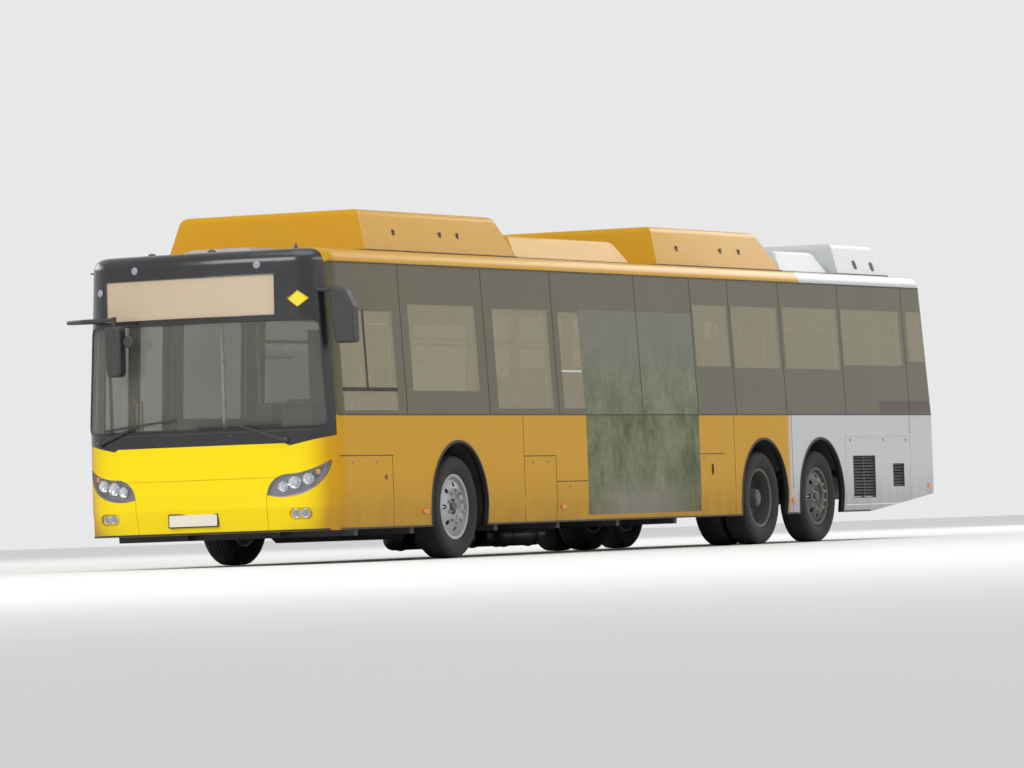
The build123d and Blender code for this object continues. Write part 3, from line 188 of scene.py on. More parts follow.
class Finish:
    """A material's or the world's nodes: one method adds any node, short names add the common ones."""

    made = {}

    def __init__(self, name, owner=None):
        self.material = owner or bpy.data.materials.new(name)
        self.material.use_nodes = True
        self.tree = self.material.node_tree
        self.tree.nodes.clear()
        Finish.made[name] = self.material

    @staticmethod
    def named(name):
        """A finish by its name; a plain one is made at its first use."""
        if name not in Finish.made:
            colour, *settings = PLAIN[name]
            plain_finish(name, rgb(colour) if isinstance(colour, str) else colour, *settings)
        return Finish.made[name]

    def node(self, kind, settings=None, values=None, output=0):
        """Adds a node: its settings first, then the values or links of its sockets."""
        node = self.tree.nodes.new(kind)
        for setting, value in (settings or {}).items():
            if setting == "stops":
                while len(node.color_ramp.elements) < len(value):
                    node.color_ramp.elements.new(0.5)
                for element, (position, colour) in zip(node.color_ramp.elements, value):
                    element.position = position
                    element.color = (*colour, 1)
            else:
                setattr(node, setting, value)
        for key, value in (values or {}).items():
            if isinstance(value, Flow):
                self.tree.links.new(value.socket, node.inputs[key])
            elif value is not None:
                socket = node.inputs[key]
                if socket.type == "RGBA" and len(value) == 3:
                    value = (*value, 1)
                socket.default_value = value
        return Flow(self, node.outputs[output])

    def place(self):
        """The row's X, Y and Z at the shaded point."""
        where = self.node("ShaderNodeTexCoord", output="Object")
        return [self.node("ShaderNodeSeparateXYZ", None, {0: where}, output) for output in range(3)]

    def noise(self, scale, detail=3.0, rough=0.55, stretch=None):
        """Smooth noise round one half, in the row frame."""
        where = self.node("ShaderNodeTexCoord", output="Object")
        if stretch:
            where = self.node("ShaderNodeVectorMath", {"operation": "MULTIPLY"}, {0: where, 1: stretch})
        values = {"Vector": where, "Scale": scale, "Detail": detail, "Roughness": rough}
        return self.node("ShaderNodeTexNoise", None, values)

    def speckle(self, scale, output="Distance"):
        """Cells of a Voronoi pattern, in the row frame."""
        where = self.node("ShaderNodeTexCoord", output="Object")
        return self.node("ShaderNodeTexVoronoi", None, {"Vector": where, "Scale": scale}, output)

    def mix(self, factor, first, second):
        """One colour going over to another."""
        values = {0: factor, 6: first, 7: second}
        return self.node("ShaderNodeMix", {"data_type": "RGBA", "clamp_factor": True}, values, 2)

    def bump(self, height, strength, distance=0.002):
        """A normal from a height."""
        values = {"Height": height, "Strength": strength, "Distance": distance}
        return self.node("ShaderNodeBump", None, values)

    def close(self, **values):
        """Ends the material in a Principled shader; keywords name its sockets, _ for a space."""
        sockets = {key.replace("_", " "): value for key, value in values.items()}
        self.end(self.node("ShaderNodeBsdfPrincipled", None, sockets))
        return self.material

    def end(self, shader, kind="ShaderNodeOutputMaterial"):
        """Links a shader to the output of the material or the world."""
        output = self.tree.nodes.new(kind)
        self.tree.links.new(shader.socket, output.inputs["Surface"])


def rgb(name):
    """One colour of the settings as a tuple."""
    return tuple(getattr(bpy.context.scene.bus_colours, name))


def hull_depth(y, z):
    """How deep a point lies under the long sides' and roof's outer surface."""
    across = abs(y) + (z - BELT_Z).most(0) * SIDE_SLOPE
    out = (across - (HALF - SHOULDER)).most(0)
    up = (z - (ROOF_Z - SHOULDER)).most(0)
    return SHOULDER - (out * out + up * up).root()


def side_print(finish, x, y, z):
    """The printed panel amidships on the left: where it is, and its plain leafy colours."""
    where = x.within(behind(5.62), behind(2.88), 0.002) * z.within(0.36, 2.35, 0.002) * y.above(0.5)
    leaves = finish.noise(2.6, 5.0, 0.7, (1.0, 1.0, 0.8))
    fine = finish.noise(11.0, 4.0, 0.7)
    greens = finish.node(
        "ShaderNodeValToRGB",
        {"stops": ((0.30, (0.035, 0.042, 0.020)), (0.45, (0.085, 0.105, 0.040)),
                   (0.58, (0.16, 0.17, 0.085)), (0.72, (0.24, 0.235, 0.15)))},
        {0: leaves * 0.75 + fine * 0.3 - 0.02})
    high = z.above(1.75, 0.55)
    sky = finish.mix(high * 0.9, greens, rgb("print_grey"))
    path = (1 - z.above(0.62, 0.16)) * x.within(behind(5.1), behind(3.3), 0.45)
    return where, finish.mix(path * 0.75, sky, (0.25, 0.24, 0.21))


def body_paint(name, rough=0.40, coat=0.08):
    """Two-tone coach paint: yellow ahead, white towards the tail, trim inside, road film low down; painted
    shade darkens the sides' yellow, the white and the louvre fields, and painted sunlight lightens the nose.
    """
    finish = Finish(name)
    x, y, z = finish.place()
    waver = finish.noise(0.8, 2.0) * 0.10
    rearward = 1 - (x + waver).above(behind(7.95) + 0.05, 0.07)
    high = z.above(2.60, 0.01)
    rear_high = 1 - x.above(behind(8.52), 0.004)
    white = finish.node("ShaderNodeMix", {"data_type": "FLOAT"}, {0: high, 2: rearward, 3: rear_high}, 0)
    tone = finish.noise(0.35, 3.0)
    # The sides' yellow and its random warm drift are darkened copies: painted shade.
    yellow = finish.mix(tone, rgb("shaded_yellow"), rgb("shaded_yellow_warm"))
    # Painted sunlight: the nose gets a lighter copy of the same yellow.
    lit_nose = x.above(NOSE_X - 0.17, 0.09)
    yellow = finish.mix(lit_nose, yellow, rgb("paint_nose_sunlit"))
    # The white is a greyed copy: painted shade.
    paint = finish.mix(white, yellow, rgb("paint_white_shaded"))
    where, colours_of_print = side_print(finish, x, y, z)
    paint = finish.mix(where, paint, colours_of_print)
    streaks = finish.noise(5.0, 4.0, 0.6, (1.0, 1.0, 0.25))
    low = 1 - z.above(0.58, 0.26)
    film = (low * 0.5 * streaks).least(0.4) * (1 - lit_nose * 0.8)
    paint = finish.mix(film, paint, rgb("road_film"))
    depth = hull_depth(y, z)
    ends = x.within(TAIL_X + 0.19, NOSE_X - 0.32, 0.001)
    behind_glass = z.within(BELT_Z + 0.001, GUTTER_Z - 0.001, 0.001) * depth.above(0.004, 0.001) * ends
    paint = finish.mix(behind_glass, paint, rgb("glass_border"))
    inside = depth.above(0.045, 0.001) * ends
    paint = finish.mix(inside, paint, rgb("cabin_trim"))
    # Painted shade: the louvred grilles and the rear lid's louvre field are darkened as if shaded inside
    # their louvres.
    vent = x.within(behind(10.31), behind(9.68)) * z.within(0.445, 0.895)
    vent = vent.most(x.within(behind(11.14), behind(10.81)) * z.within(0.555, 0.805)) * y.above(0.5)
    vent = vent.most((1 - x.above(TAIL_X + 0.10)) * (1 - abs(y).above(0.722)) * z.within(0.698, 1.052))
    vent = vent * (1 - z.above(1.06))
    paint = finish.mix(vent * 0.92, paint, (0.055, 0.056, 0.060))
    low_down = z - WHEEL_Z
    for axle in (FRONT_AXLE_X, DRIVE_AXLE_X, TAG_AXLE_X):
        along = abs(x - axle)
        round_arch = 1 - (along * along + low_down * low_down).root().above(0.6035, 0.001)
        below = (1 - along.above(0.592, 0.001)) * (1 - low_down.above(-0.10, 0.001))
        edge = round_arch.most(below) * depth.above(0.0025, 0.001)
        paint = finish.mix(edge, paint, (0.012, 0.012, 0.012))
    roughness = rough + film * 0.5 + inside * 0.25 + (streaks - 0.5) * 0.08
    weight = (1 - film * 1.6) * (1 - behind_glass.most(inside)) * coat
    peel = finish.noise(420.0, 1.0)
    waves = finish.noise(1.6, 2.0)
    return finish.close(
        Base_Color=paint,
        Roughness=roughness,
        Coat_Weight=weight,
        Coat_Roughness=0.08,
        Specular_IOR_Level=0.14,
        Normal=finish.bump(peel * 0.05 + waves, 0.05, 0.012),
    )


def plain_finish(name, colour, rough=0.5, metal=0.0, coat=0.0, grain=0.0, wear=0.12, grain_scale=300.0):
    """A moulded, painted or cast surface: colour drift, fine grain and uneven gloss."""
    finish = Finish(name)
    drift = finish.noise(3.0, 4.0)
    fine = finish.noise(grain_scale, 3.0)
    pale = tuple(min(1.0, c * (1 + wear) + 0.012 * wear * 8) for c in colour)
    dark = tuple(c * (1 - wear) for c in colour)
    tone = finish.mix(drift * 1.4 - 0.2, dark, pale)
    values = {
        "Base_Color": tone,
        "Roughness": (rough + (drift - 0.5) * 0.18 + (fine - 0.5) * 0.08).most(0.02),
        "Metallic": metal,
        "Coat_Weight": coat,
        "Coat_Roughness": 0.1,
    }
    if grain:
        values["Normal"] = finish.bump(fine, grain, 0.001)
    return finish.close(**values)


def glass_finish(name, tint, alpha, rough=0.03, coat=0.6):
    """Glass as a tinted skin that shows what is behind it."""
    finish = Finish(name)
    smear = finish.noise(1.2, 4.0)
    return finish.close(
        Base_Color=finish.mix(smear, tint, tuple(c * 1.15 for c in tint)),
        Roughness=rough + smear * 0.03,
        Alpha=alpha + (smear - 0.5) * 0.10,
        Coat_Weight=coat,
        Coat_Roughness=0.02,
        IOR=1.5,
    )


def side_glass_finish():
    """The sides' bonded glass: clear windows, lightened with painted light, in an opaque border, the printed
    panel, a rear stripe.
    """
    finish = Finish("side_glass")
    x, y, z = finish.place()
    smear = finish.noise(1.2, 4.0)
    left = y.above(0.0)
    clear = x * 0
    for lights, here in ((LEFT_LIGHTS, left), (RIGHT_LIGHTS, 1 - left)):
        for front, rear, sill, head in lights:
            pane = x.within(behind(rear), behind(front), 0.004) * z.within(sill, head, 0.004)
            clear = clear.most(pane * here)
    where, colours_of_print = side_print(finish, x, y, z)
    clear = clear * (1 - where)
    # The clear panes' tint carries painted light.
    tint = finish.mix(smear, rgb("glass_tint_painted_light"), tuple(c * 1.15 for c in rgb("glass_tint_painted_light")))
    border = finish.mix(smear, rgb("glass_border"), tuple(c * 1.25 for c in rgb("glass_border")))
    tint = finish.mix(clear, border, tint)
    tint = finish.mix(where, tint, colours_of_print)
    stripe = x.within(behind(12.12), behind(10.5)) * z.within(1.35, 1.48) * left
    tint = finish.mix(stripe, tint, (0.060, 0.030, 0.032))
    return finish.close(
        Base_Color=tint,
        Roughness=0.08 + smear * 0.06 + (1 - clear) * 0.10,
        Alpha=1 - clear * (0.42 + (smear - 0.5) * 0.16),
        Coat_Weight=0.12,
        Coat_Roughness=0.03,
        Specular_IOR_Level=0.25,
        IOR=1.5,
    )


def lamp_finish():
    """All lamp parts: clear covers in front, fog lamps, red and amber lenses."""
    finish = Finish("lamp_parts")
    x, y, z = finish.place()
    back = (z - 0.52).most(0) * (0.015 / 0.81) + (0.52 - z).most(0) * (0.045 / 0.22)
    from_big = x + back - (NOSE_X - NOSE_RADIUS)
    big = NOSE_RADIUS - (from_big * from_big + y * y).root()
    turn = HALF - NOSE_CORNER
    reach = NOSE_RADIUS - NOSE_CORNER
    corner_x = NOSE_X - NOSE_RADIUS + sqrt(reach**2 - turn**2)
    ahead = x + back - corner_x
    aside = abs(y) - turn
    small = NOSE_CORNER - (ahead * ahead + aside * aside).root()
    past = abs(y).above(NOSE_RADIUS * turn / reach, 0.001)
    depth = big * (1 - past) + small * past
    front = x.above(6.0)
    rear = 1 - x.above(TAIL_X + 0.15)
    marker = (1 - front) * (1 - rear)
    inner = depth.above(0.0105, 0.0005) * front
    fog = inner * (1 - z.above(0.55))
    fine = finish.speckle(160.0)
    flutes = finish.node("ShaderNodeMath", {"operation": "SINE"}, {0: y * 900.0})
    colour = finish.mix(fog, (0.05, 0.05, 0.05), (0.30, 0.30, 0.32))
    colour = finish.mix(1 - inner, colour, (0.35, 0.37, 0.40))
    colour = finish.mix(rear, colour, (0.34, 0.008, 0.006))
    amber = marker.most(rear * z.within(1.18, 1.29))
    colour = finish.mix(amber, colour, (0.72, 0.20, 0.01))
    colour = finish.mix(rear * z.within(0.80, 0.91), colour, (0.60, 0.60, 0.60))
    clear = front * (1 - inner)
    return finish.close(
        Base_Color=colour,
        Metallic=fog * 0.5,
        Roughness=0.12 + inner * 0.10 + fine * 0.05,
        Alpha=1 - clear * 0.90,
        Coat_Weight=0.6,
        Coat_Roughness=0.03,
        Normal=finish.bump(flutes * (rear + marker) + fine * 0.3, 0.25, 0.0012),
    )


def display_finish():
    """A blank dot display behind glass."""
    finish = Finish("display_face")
    _, y, z = finish.place()
    across, up = (y % 0.013) - 0.0065, (z % 0.013) - 0.0065
    dots = 1 - (across * across + up * up).root().above(0.0045, 0.0008)
    plain = y.above(0.84, 0.001)
    drift = finish.noise(1.5, 3.0)
    lit = tuple(c * 1.5 for c in rgb("display_face"))
    face = finish.mix(dots * 0.5 + drift * 0.2, rgb("display_face"), lit)
    # Beside the display, the nose's yellow with its painted sunlight.
    face = finish.mix(plain, face, rgb("paint_nose_sunlit"))
    return finish.close(Base_Color=face, Roughness=0.35, Coat_Weight=0.5, Coat_Roughness=0.05)


def rubber_finish():
    """Tyre rubber: browned, dusty sidewalls with fine rings and a duller tread."""
    finish = Finish("tyre_rubber")
    x, _, z = finish.place()
    up = z - WHEEL_Z
    radius = x * 0
    for axle in (FRONT_AXLE_X, DRIVE_AXLE_X, TAG_AXLE_X):
        near = x - axle
        mine = 1 - abs(near).above(0.62)
        radius = radius + (near * near + up * up).root() * mine
    rings = finish.node("ShaderNodeMath", {"operation": "SINE"}, {0: radius * 2600.0})
    dust = finish.noise(9.0, 5.0, 0.65)
    tread = radius.above(0.464, 0.004)
    grime = finish.mix(dust * 0.8, (0.020, 0.020, 0.021), (0.050, 0.046, 0.040))
    colour = finish.mix(tread * 0.7, grime, (0.030, 0.029, 0.028))
    side = 1 - tread
    return finish.close(
        Base_Color=colour,
        Roughness=0.78 + dust * 0.15 - side * 0.12,
        Specular_IOR_Level=0.2,
        Normal=finish.bump(rings * side * 0.35 + dust, 0.35, 0.0012),
    )


def wheel_finish():
    """Silver-painted pressed steel, much darker on the rear wheels, with patchy dirt that is heavier there
    and round the holes.
    """
    finish = Finish("rim_silver")
    x, _, _ = finish.place()
    front = x.above(FRONT_AXLE_X - 1.0)
    dust = finish.noise(7.0, 5.0, 0.65)
    dirt = (dust * 1.3 - 0.25).most(0) * (1.1 - front * 0.75)
    silver = finish.mix(front, (0.10, 0.097, 0.092), (0.40, 0.41, 0.43))
    colour = finish.mix(dirt.least(0.85), silver, (0.055, 0.048, 0.040))
    return finish.close(
        Base_Color=colour,
        Metallic=front * 0.45,
        Roughness=0.42 + dirt * 0.3,
        Normal=finish.bump(dust + finish.noise(260.0) * 0.2, 0.2, 0.001),
    )


def floor_finish():
    """Speckled safety vinyl with trodden paths, yellow at the steps' edges."""
    finish = Finish("floor_vinyl")
    x, y, z = finish.place()
    chips = finish.speckle(240.0)
    path = 1 - abs(y).above(0.32, 0.12)
    base = finish.mix(chips.above(0.28, 0.08), (0.26, 0.27, 0.29), (0.115, 0.12, 0.13))
    worn = finish.mix(path * finish.noise(3.0, 4.0), base, (0.19, 0.185, 0.175))
    edges = x.within(behind(5.49), behind(5.45)).most(x.within(behind(5.79), behind(5.75)))
    edges = edges.most(x.within(behind(9.54), behind(9.50))) * z.above(0.36)
    return finish.close(
        Base_Color=finish.mix(edges, worn, (0.75, 0.45, 0.02)),
        Roughness=0.62 - path * 0.12,
        Normal=finish.bump(chips, 0.3, 0.001),
    )


def cloth_finish():
    """Wool moquette: short pile with a small check of like blues and a few warm threads."""
    finish = Finish("seat_cloth")
    x, y, z = finish.place()
    pile = finish.noise(900.0, 3.0, 0.7)
    along, across = (x + z * 0.3) % 0.036, y % 0.036
    check = along.within(0.004, 0.016, 0.002).most(across.within(0.004, 0.016, 0.002))
    warm = along.within(0.024, 0.030, 0.001) * across.within(0.022, 0.030, 0.001)
    cloth = finish.mix(check * 0.8, (0.018, 0.035, 0.10), (0.035, 0.075, 0.17))
    cloth = finish.mix(warm, cloth, (0.55, 0.30, 0.03))
    cloth = finish.mix(pile * 0.5, cloth, (0.07, 0.09, 0.14))
    return finish.close(
        Base_Color=cloth,
        Roughness=0.92,
        Sheen_Weight=0.25,
        Normal=finish.bump(pile, 0.5, 0.0012),
    )


# Mesh tools


def ring(centre, first, other, radius, count):
    """Points of a circle round a centre, in the plane of two directions."""
    angles = [2 * pi * k / count for k in range(count)]
    return [centre + radius * (first * cos(angle) + other * sin(angle)) for angle in angles]


def add_loft(mesh, rings, caps=True, wrap=False):
    """Joins equal rings of points with faces; then caps both ends, or wraps the last ring to the first."""
    rows = [[mesh.verts.new(point) for point in points] for points in rings]
    count = len(rows[0])
    for low, high in zip(rows, rows[1:] + (rows[:1] if wrap else [])):
        for place in range(count):
            after = (place + 1) % count
            mesh.faces.new((low[place], low[after], high[after], high[place]))
    if caps and not wrap:
        mesh.faces.new(tuple(reversed(rows[0])))
        mesh.faces.new(tuple(rows[-1]))
    return rows


def add_box(mesh, low, high, bevel=0.003):
    """Adds a block with rounded edges, between two corners."""
    made = bmesh.ops.create_cube(mesh, size=1.0)["verts"]
    for vert in made:
        vert.co = Vector([a + (c + 0.5) * (b - a) for c, a, b in zip(vert.co, low, high)])
    edges = list({edge for vert in made for edge in vert.link_edges})
    bmesh.ops.bevel(mesh, geom=edges, offset=bevel, segments=2, profile=0.7, affect="EDGES")


def add_block(mesh, centre, half, bevel=0.003):
    """Adds a block with rounded edges, by its middle and half its sizes."""
    add_box(mesh, Vector(centre) - Vector(half), Vector(centre) + Vector(half), bevel)


def add_tube(mesh, points, radius, sides=8, closed=False):
    """Adds a round tube along a line of points."""
    points = [Vector(point) for point in points]
    last = len(points) - 1
    normal = None
    rings = []
    for place, point in enumerate(points):
        if closed:
            tangent = points[(place + 1) % (last + 1)] - points[place - 1]
        else:
            tangent = points[min(place + 1, last)] - points[max(place - 1, 0)]
        tangent.normalize()
        if normal is None:
            normal = tangent.orthogonal().normalized()
        normal = (normal - tangent * normal.dot(tangent)).normalized()
        rings.append(ring(point, normal, tangent.cross(normal), radius, sides))
    add_loft(mesh, rings, wrap=closed)


def add_turned(mesh, centre, axis, profile, steps=32):
    """Adds a turned form: profile rows of (along the axis, radius)."""
    axis = Vector(axis).normalized()
    first = axis.orthogonal().normalized()
    other = axis.cross(first)
    add_loft(mesh, [
        ring(Vector(centre) + axis * along, first, other, max(radius, 1e-4), steps)
        for along, radius in profile
    ])


def add_plate(mesh, outline, thickness, direction):
    """Adds a flat plate: an outline of points carried along a direction, its edges eased."""
    push = Vector(direction).normalized()
    ease = min(0.3 * thickness, 0.003)
    middle = sum((Vector(p) for p in outline), Vector()) / len(outline)
    add_loft(mesh, [
        [Vector(p) + (middle - Vector(p)).normalized() * shrink + push * height for p in outline]
        for height, shrink in ((0, 0), (thickness - ease, 0), (thickness, ease))
    ])


def rounded(corners, radius, steps=5, spacing=0.08):
    """Points round a polygon of 2-D corners with its corners rounded."""
    points = []
    for place, here in enumerate(corners):
        corner = Vector(here)
        before = Vector(corners[place - 1]) - corner
        after = Vector(corners[(place + 1) % len(corners)]) - corner
        start = corner + before.normalized() * radius
        end = corner + after.normalized() * radius
        for step in range(steps + 1):
            share = step / steps
            points.append((1 - share) ** 2 * start + 2 * share * (1 - share) * corner + share**2 * end)
        next_start = corner + after - after.normalized() * radius
        pieces = max(1, int((next_start - end).length / spacing))
        points += [end.lerp(next_start, k / pieces) for k in range(1, pieces)]
    return points


def rounded_box(left, low, right, high, *settings):
    """Points round a rectangle with rounded corners."""
    return rounded(((left, low), (right, low), (right, high), (left, high)), *settings)


def nose_point(across, height, out=0.0):
    """A point on the nose, or this far off it along its normal."""
    step = 0.002
    slope_y = (nose_at(across + step, height) - nose_at(across - step, height)) / (2 * step)
    slope_z = (nose_at(across, height + step) - nose_at(across, height - step)) / (2 * step)
    normal = Vector((1, -slope_y, -slope_z)).normalized()
    return Vector((nose_at(across, height), across, height)) + normal * out


def nose_way(across, height):
    """The nose's outward direction at a place."""
    return (nose_point(across, height, 1.0) - nose_point(across, height)).normalized()


def on_nose(places, out):
    """Points on the nose, or this far off it, for (across, height) places."""
    return [nose_point(place[0], place[1], out) for place in places]


def tail_point(across, height, out=0.0):
    """A point on the tail, or this far off it."""
    step = 0.002
    slope_y = (tail_at(across + step, height) - tail_at(across - step, height)) / (2 * step)
    normal = Vector((-1, slope_y, 0)).normalized()
    return Vector((tail_at(across, height), across, height)) + normal * out


def side_point(x, height, side, out=0.0):
    """A point on a long side, or this far off it."""
    return Vector((x, side * (side_at(height) + out), height))


def add_band(mesh, point, spots, half_width, low, high, upright=False):
    """Adds a flat band on a surface through spots of it; an upright one is wide along the first number."""
    rings = []
    for first, second in spots:
        corners = ((-half_width, low), (half_width, low), (half_width, high), (-half_width, high))
        rings.append([
            point(first + shift, second, out) if upright else point(first, second + shift, out)
            for shift, out in corners
        ])
    add_loft(mesh, rings)


def add_side_band(mesh, side, front, rear, low_z, high_z, width=0.007, out=0.0008):
    """Adds a thin band on a long side, between two places behind the front axle and two heights."""
    upright = abs(rear - front) <= abs(high_z - low_z)
    steps = 2 + int(max(abs(rear - front), abs(high_z - low_z)) / (0.15 if upright else 4.0))
    spots = []
    for step in range(steps + 1):
        share = step / steps
        spots.append((behind(front + share * (rear - front)), low_z + share * (high_z - low_z)))
    add_band(mesh, lambda x, z, off: side_point(x, z, side, off), spots, width / 2, -0.002, out, upright)


def add_object(name, data, place=(0, 0, 0)):
    """Puts an object into the scene."""
    thing = bpy.data.objects.new(name, data)
    thing.location = place
    bpy.context.scene.collection.objects.link(thing)
    return thing


def build(name, finish, parts, body="root", slot=None, sharp=38.0):
    """Makes a piece that rides on a body; parts are rows of an add function and what it takes."""
    mesh = bmesh.new()
    for add, *rest in parts:
        add(mesh, *rest)
    bmesh.ops.remove_doubles(mesh, verts=mesh.verts, dist=1e-5)
    bmesh.ops.recalc_face_normals(mesh, faces=mesh.faces)
    data = bpy.data.meshes.new(name)
    mesh.to_mesh(data)
    mesh.free()
    data.polygons.foreach_set("use_smooth", [True] * len(data.polygons))
    data.set_sharp_from_angle(angle=radians(sharp))
    data.materials.append(Finish.named(finish))
    piece = add_object(name, data)
    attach(piece, body)
    return piece


# Tables, in metres; places along the sides are behind the front axle
PLAIN = {
    # colour, roughness, metal, coat, grain, wear, scale of the grain
    "mask_gloss": ("mask_black", 0.24, 0, 0.25, 0, 0.05),
    "black_plastic": ((0.02, 0.02, 0.021), 0.55, 0, 0, 0.1),
    "liner_plastic": ((0.014, 0.013, 0.013), 0.8, 0, 0, 0.3, 0.4, 90.0),
    "frame_paint": ((0.02, 0.02, 0.021), 0.6, 0, 0, 0.2, 0.3),
    "axle_iron": ((0.030, 0.028, 0.026), 0.75, 0, 0, 0.4, 0.4, 120.0),
    "bellows_rubber": ((0.018, 0.018, 0.018), 0.7, 0, 0, 0.1),
    "engine_iron": ((0.05, 0.05, 0.052), 0.6, 0, 0, 0.3, 0.3),
    "cab_panel": ((0.05, 0.05, 0.052), 0.6, 0, 0, 0.2),
    "seat_shell": ((0.06, 0.065, 0.075), 0.5, 0, 0, 0.25),
    "rail_paint": ((0.78, 0.50, 0.03), 0.35, 0, 0.3),
    "door_black": ((0.014, 0.014, 0.016), 0.35, 0, 0.4),
    "nut_steel": ((0.30, 0.29, 0.27), 0.45, 0.7, 0, 0, 0.35),
    "hub_cap_black": ((0.030, 0.030, 0.032), 0.4, 0, 0.3),
    "frame_gloss": ((0.012, 0.012, 0.014), 0.3, 0, 0.4),
    "skirt_plastic": ((0.02, 0.02, 0.021), 0.55, 0, 0, 0.2),
    "lock_steel": ((0.20, 0.20, 0.20), 0.4, 0.8),
    "handle_black": ((0.015, 0.015, 0.015), 0.45, 0, 0, 0.1),
    "cap_red": ((0.16, 0.022, 0.015), 0.4, 0, 0.2),
    "lamp_housing": ((0.20, 0.185, 0.195), 0.30, 0.35, 0.3),
    "lamp_chrome": ((0.84, 0.84, 0.86), 0.14, 0.9, 0, 0, 0.03),
    "lamp_dome": ((0.50, 0.56, 0.66), 0.08, 0, 0.8, 0, 0.05),
    "lamp_amber": ((0.62, 0.24, 0.03), 0.2, 0, 0.6, 0, 0.05),
    "arm_black": ((0.016, 0.016, 0.017), 0.4, 0, 0.2),
    "holder_black": ((0.02, 0.02, 0.02), 0.5, 0, 0, 0.1),
    "plate_white": ((0.70, 0.66, 0.55), 0.35, 0, 0.3, 0, 0.05),
    # Violet of a painted sun glint, worn by the marker lamps too.
    "marker_clear": ((0.30, 0.27, 0.36), 0.15, 0, 0.6),
    "reflector_red": ((0.34, 0.01, 0.008), 0.2, 0, 0.8),
    "vent_dark": ((0.02, 0.018, 0.03), 0.5, 0, 0, 0.1),
    "hatch_grey": ((0.42, 0.42, 0.42), 0.45, 0, 0, 0.1),
    "antenna_black": ((0.02, 0.02, 0.022), 0.4, 0, 0.2),
    "diffuser_white": ((0.80, 0.80, 0.78), 0.5, 0, 0, 0, 0.04),
    "button_red": ((0.45, 0.02, 0.015), 0.4, 0, 0.2),
    "console_black": ((0.02, 0.02, 0.022), 0.5, 0, 0, 0.15),
    "cab_panel_pale": ((0.20, 0.20, 0.20), 0.6, 0, 0, 0.2),
    "tank_black": ((0.02, 0.02, 0.02), 0.45, 0, 0.2),
    "pipe_black": ((0.018, 0.018, 0.020), 0.5),
    "joint_black": ((0.010, 0.010, 0.010), 0.7, 0, 0, 0.1),
    "seal_rubber": ((0.014, 0.014, 0.014), 0.6, 0, 0, 0.15),
    "bright_trim": ((0.62, 0.63, 0.64), 0.3, 0.8, 0, 0, 0.06),
}
DRESSED = {
    # finish: the CAD nodes that wear it; a name with * stands for all that match
    "coach_paint": "left_wall right_wall rear_wall front_bumper engine_lid engine_flap roof",
    "cover_paint": "roof_pods roof_boxes",
    "mask_gloss": "front_mask",
    "side_glass": "side_windows rear_window",
    "door_glass": "*_glass",
    "screen_glass": "windscreen",
    "display_face": "sign_panel",
    "lamp_parts": "lamps",
    "black_plastic": "mirrors wipers steering_wheel",
    "liner_plastic": "wheel_housings",
    "floor_vinyl": "floor",
    "frame_paint": "underframe",
    "axle_iron": "axles knuckle_left knuckle_right",
    "bellows_rubber": "air_springs",
    "engine_iron": "engine",
    "cab_panel": "driver_cab dashboard",
    "seat_shell": "seats",
    "rail_paint": "handrails",
    "tyre_rubber": "tyre_*",
    "rim_silver": "rim_*",
    "door_black": "front_door_front front_door_rear middle_door_front middle_door_rear",
}
LEFT_LIGHTS = (
    # front, rear, sill, head
    (-2.330, -1.850, 1.570, 2.270),
    (-1.810, -1.230, 1.570, 2.270),
    (-2.330, -1.230, 1.370, 1.550),
    (-0.890, 0.530, 1.550, 2.345),
    (0.920, 2.150, 1.390, 2.330),
    (2.400, 4.130, 1.390, 2.320),
    (4.370, 5.500, 1.390, 2.320),
    (5.670, 6.530, 1.820, 2.440),
    (6.650, 7.840, 1.810, 2.440),
    (8.000, 9.480, 1.810, 2.450),
    (9.600, 11.260, 1.860, 2.450),
    (11.470, 11.940, 1.910, 2.450),
)
RIGHT_LIGHTS = (
    (-0.740, 0.530, 1.390, 2.345),
    (0.920, 2.360, 1.390, 2.330),
    (4.140, 5.500, 1.390, 2.320),
    *LEFT_LIGHTS[7:],
)
HEADLAMP_DISHES = (
    # across, height, dish radius, dome radius
    (0.815, 0.706, 0.046, 0.020),
    (0.920, 0.738, 0.056, 0.027),
    (1.045, 0.768, 0.050, 0.024),
)
HEADLAMP_ARCS = (
    # where an arc starts, then a place on its way; the next row's start ends it
    (0.664, 0.632, 0.735, 0.770),
    (0.880, 0.816, 1.060, 0.850),
    (1.222, 0.935, 1.165, 0.760),
    (1.040, 0.655, 0.852, 0.612),
)
HEADLAMP_MIDDLE = (0.930, 0.745)
SCREEN_CORNERS = ((-1.212, 1.240), (1.212, 1.240), (1.150, 2.200), (-1.150, 2.200))
LEFT_MEETS = (-1.05, 0.72, 2.27, 4.25, 5.62, 6.59, 7.92, 9.54, 11.36)
RIGHT_MEETS = (0.72, 5.62, 6.59, 7.92, 9.54, 11.36)
WHEELS = (
    # body, axle, side, is it a pair
    ("wheel_front_left", FRONT_AXLE_X, 1, False),
    ("wheel_drive_left", DRIVE_AXLE_X, 1, True),
    ("wheel_tag_left", TAG_AXLE_X, 1, False),
    ("wheel_front_right", FRONT_AXLE_X, -1, False),
    ("wheel_drive_right", DRIVE_AXLE_X, -1, True),
    ("wheel_tag_right", TAG_AXLE_X, -1, False),
)
LEFT_JOINTS = (
    # front, rear, low, high
    (-2.455, -1.38, 0.962, 0.962),
    (-1.40, -1.40, 0.302, 0.962),
    (1.43, 1.43, 0.302, 1.328),
    (1.43, 2.15, 0.937, 0.937),
    (2.15, 2.15, 0.302, 0.937),
    (2.15, 2.88, 0.690, 0.690),
    (5.56, 6.24, 0.936, 0.936),
    (6.50, 6.50, 0.302, 1.328),
    (8.02, 8.02, 0.302, 1.328),
    (11.33, 11.33, 1.115, 1.328),
)
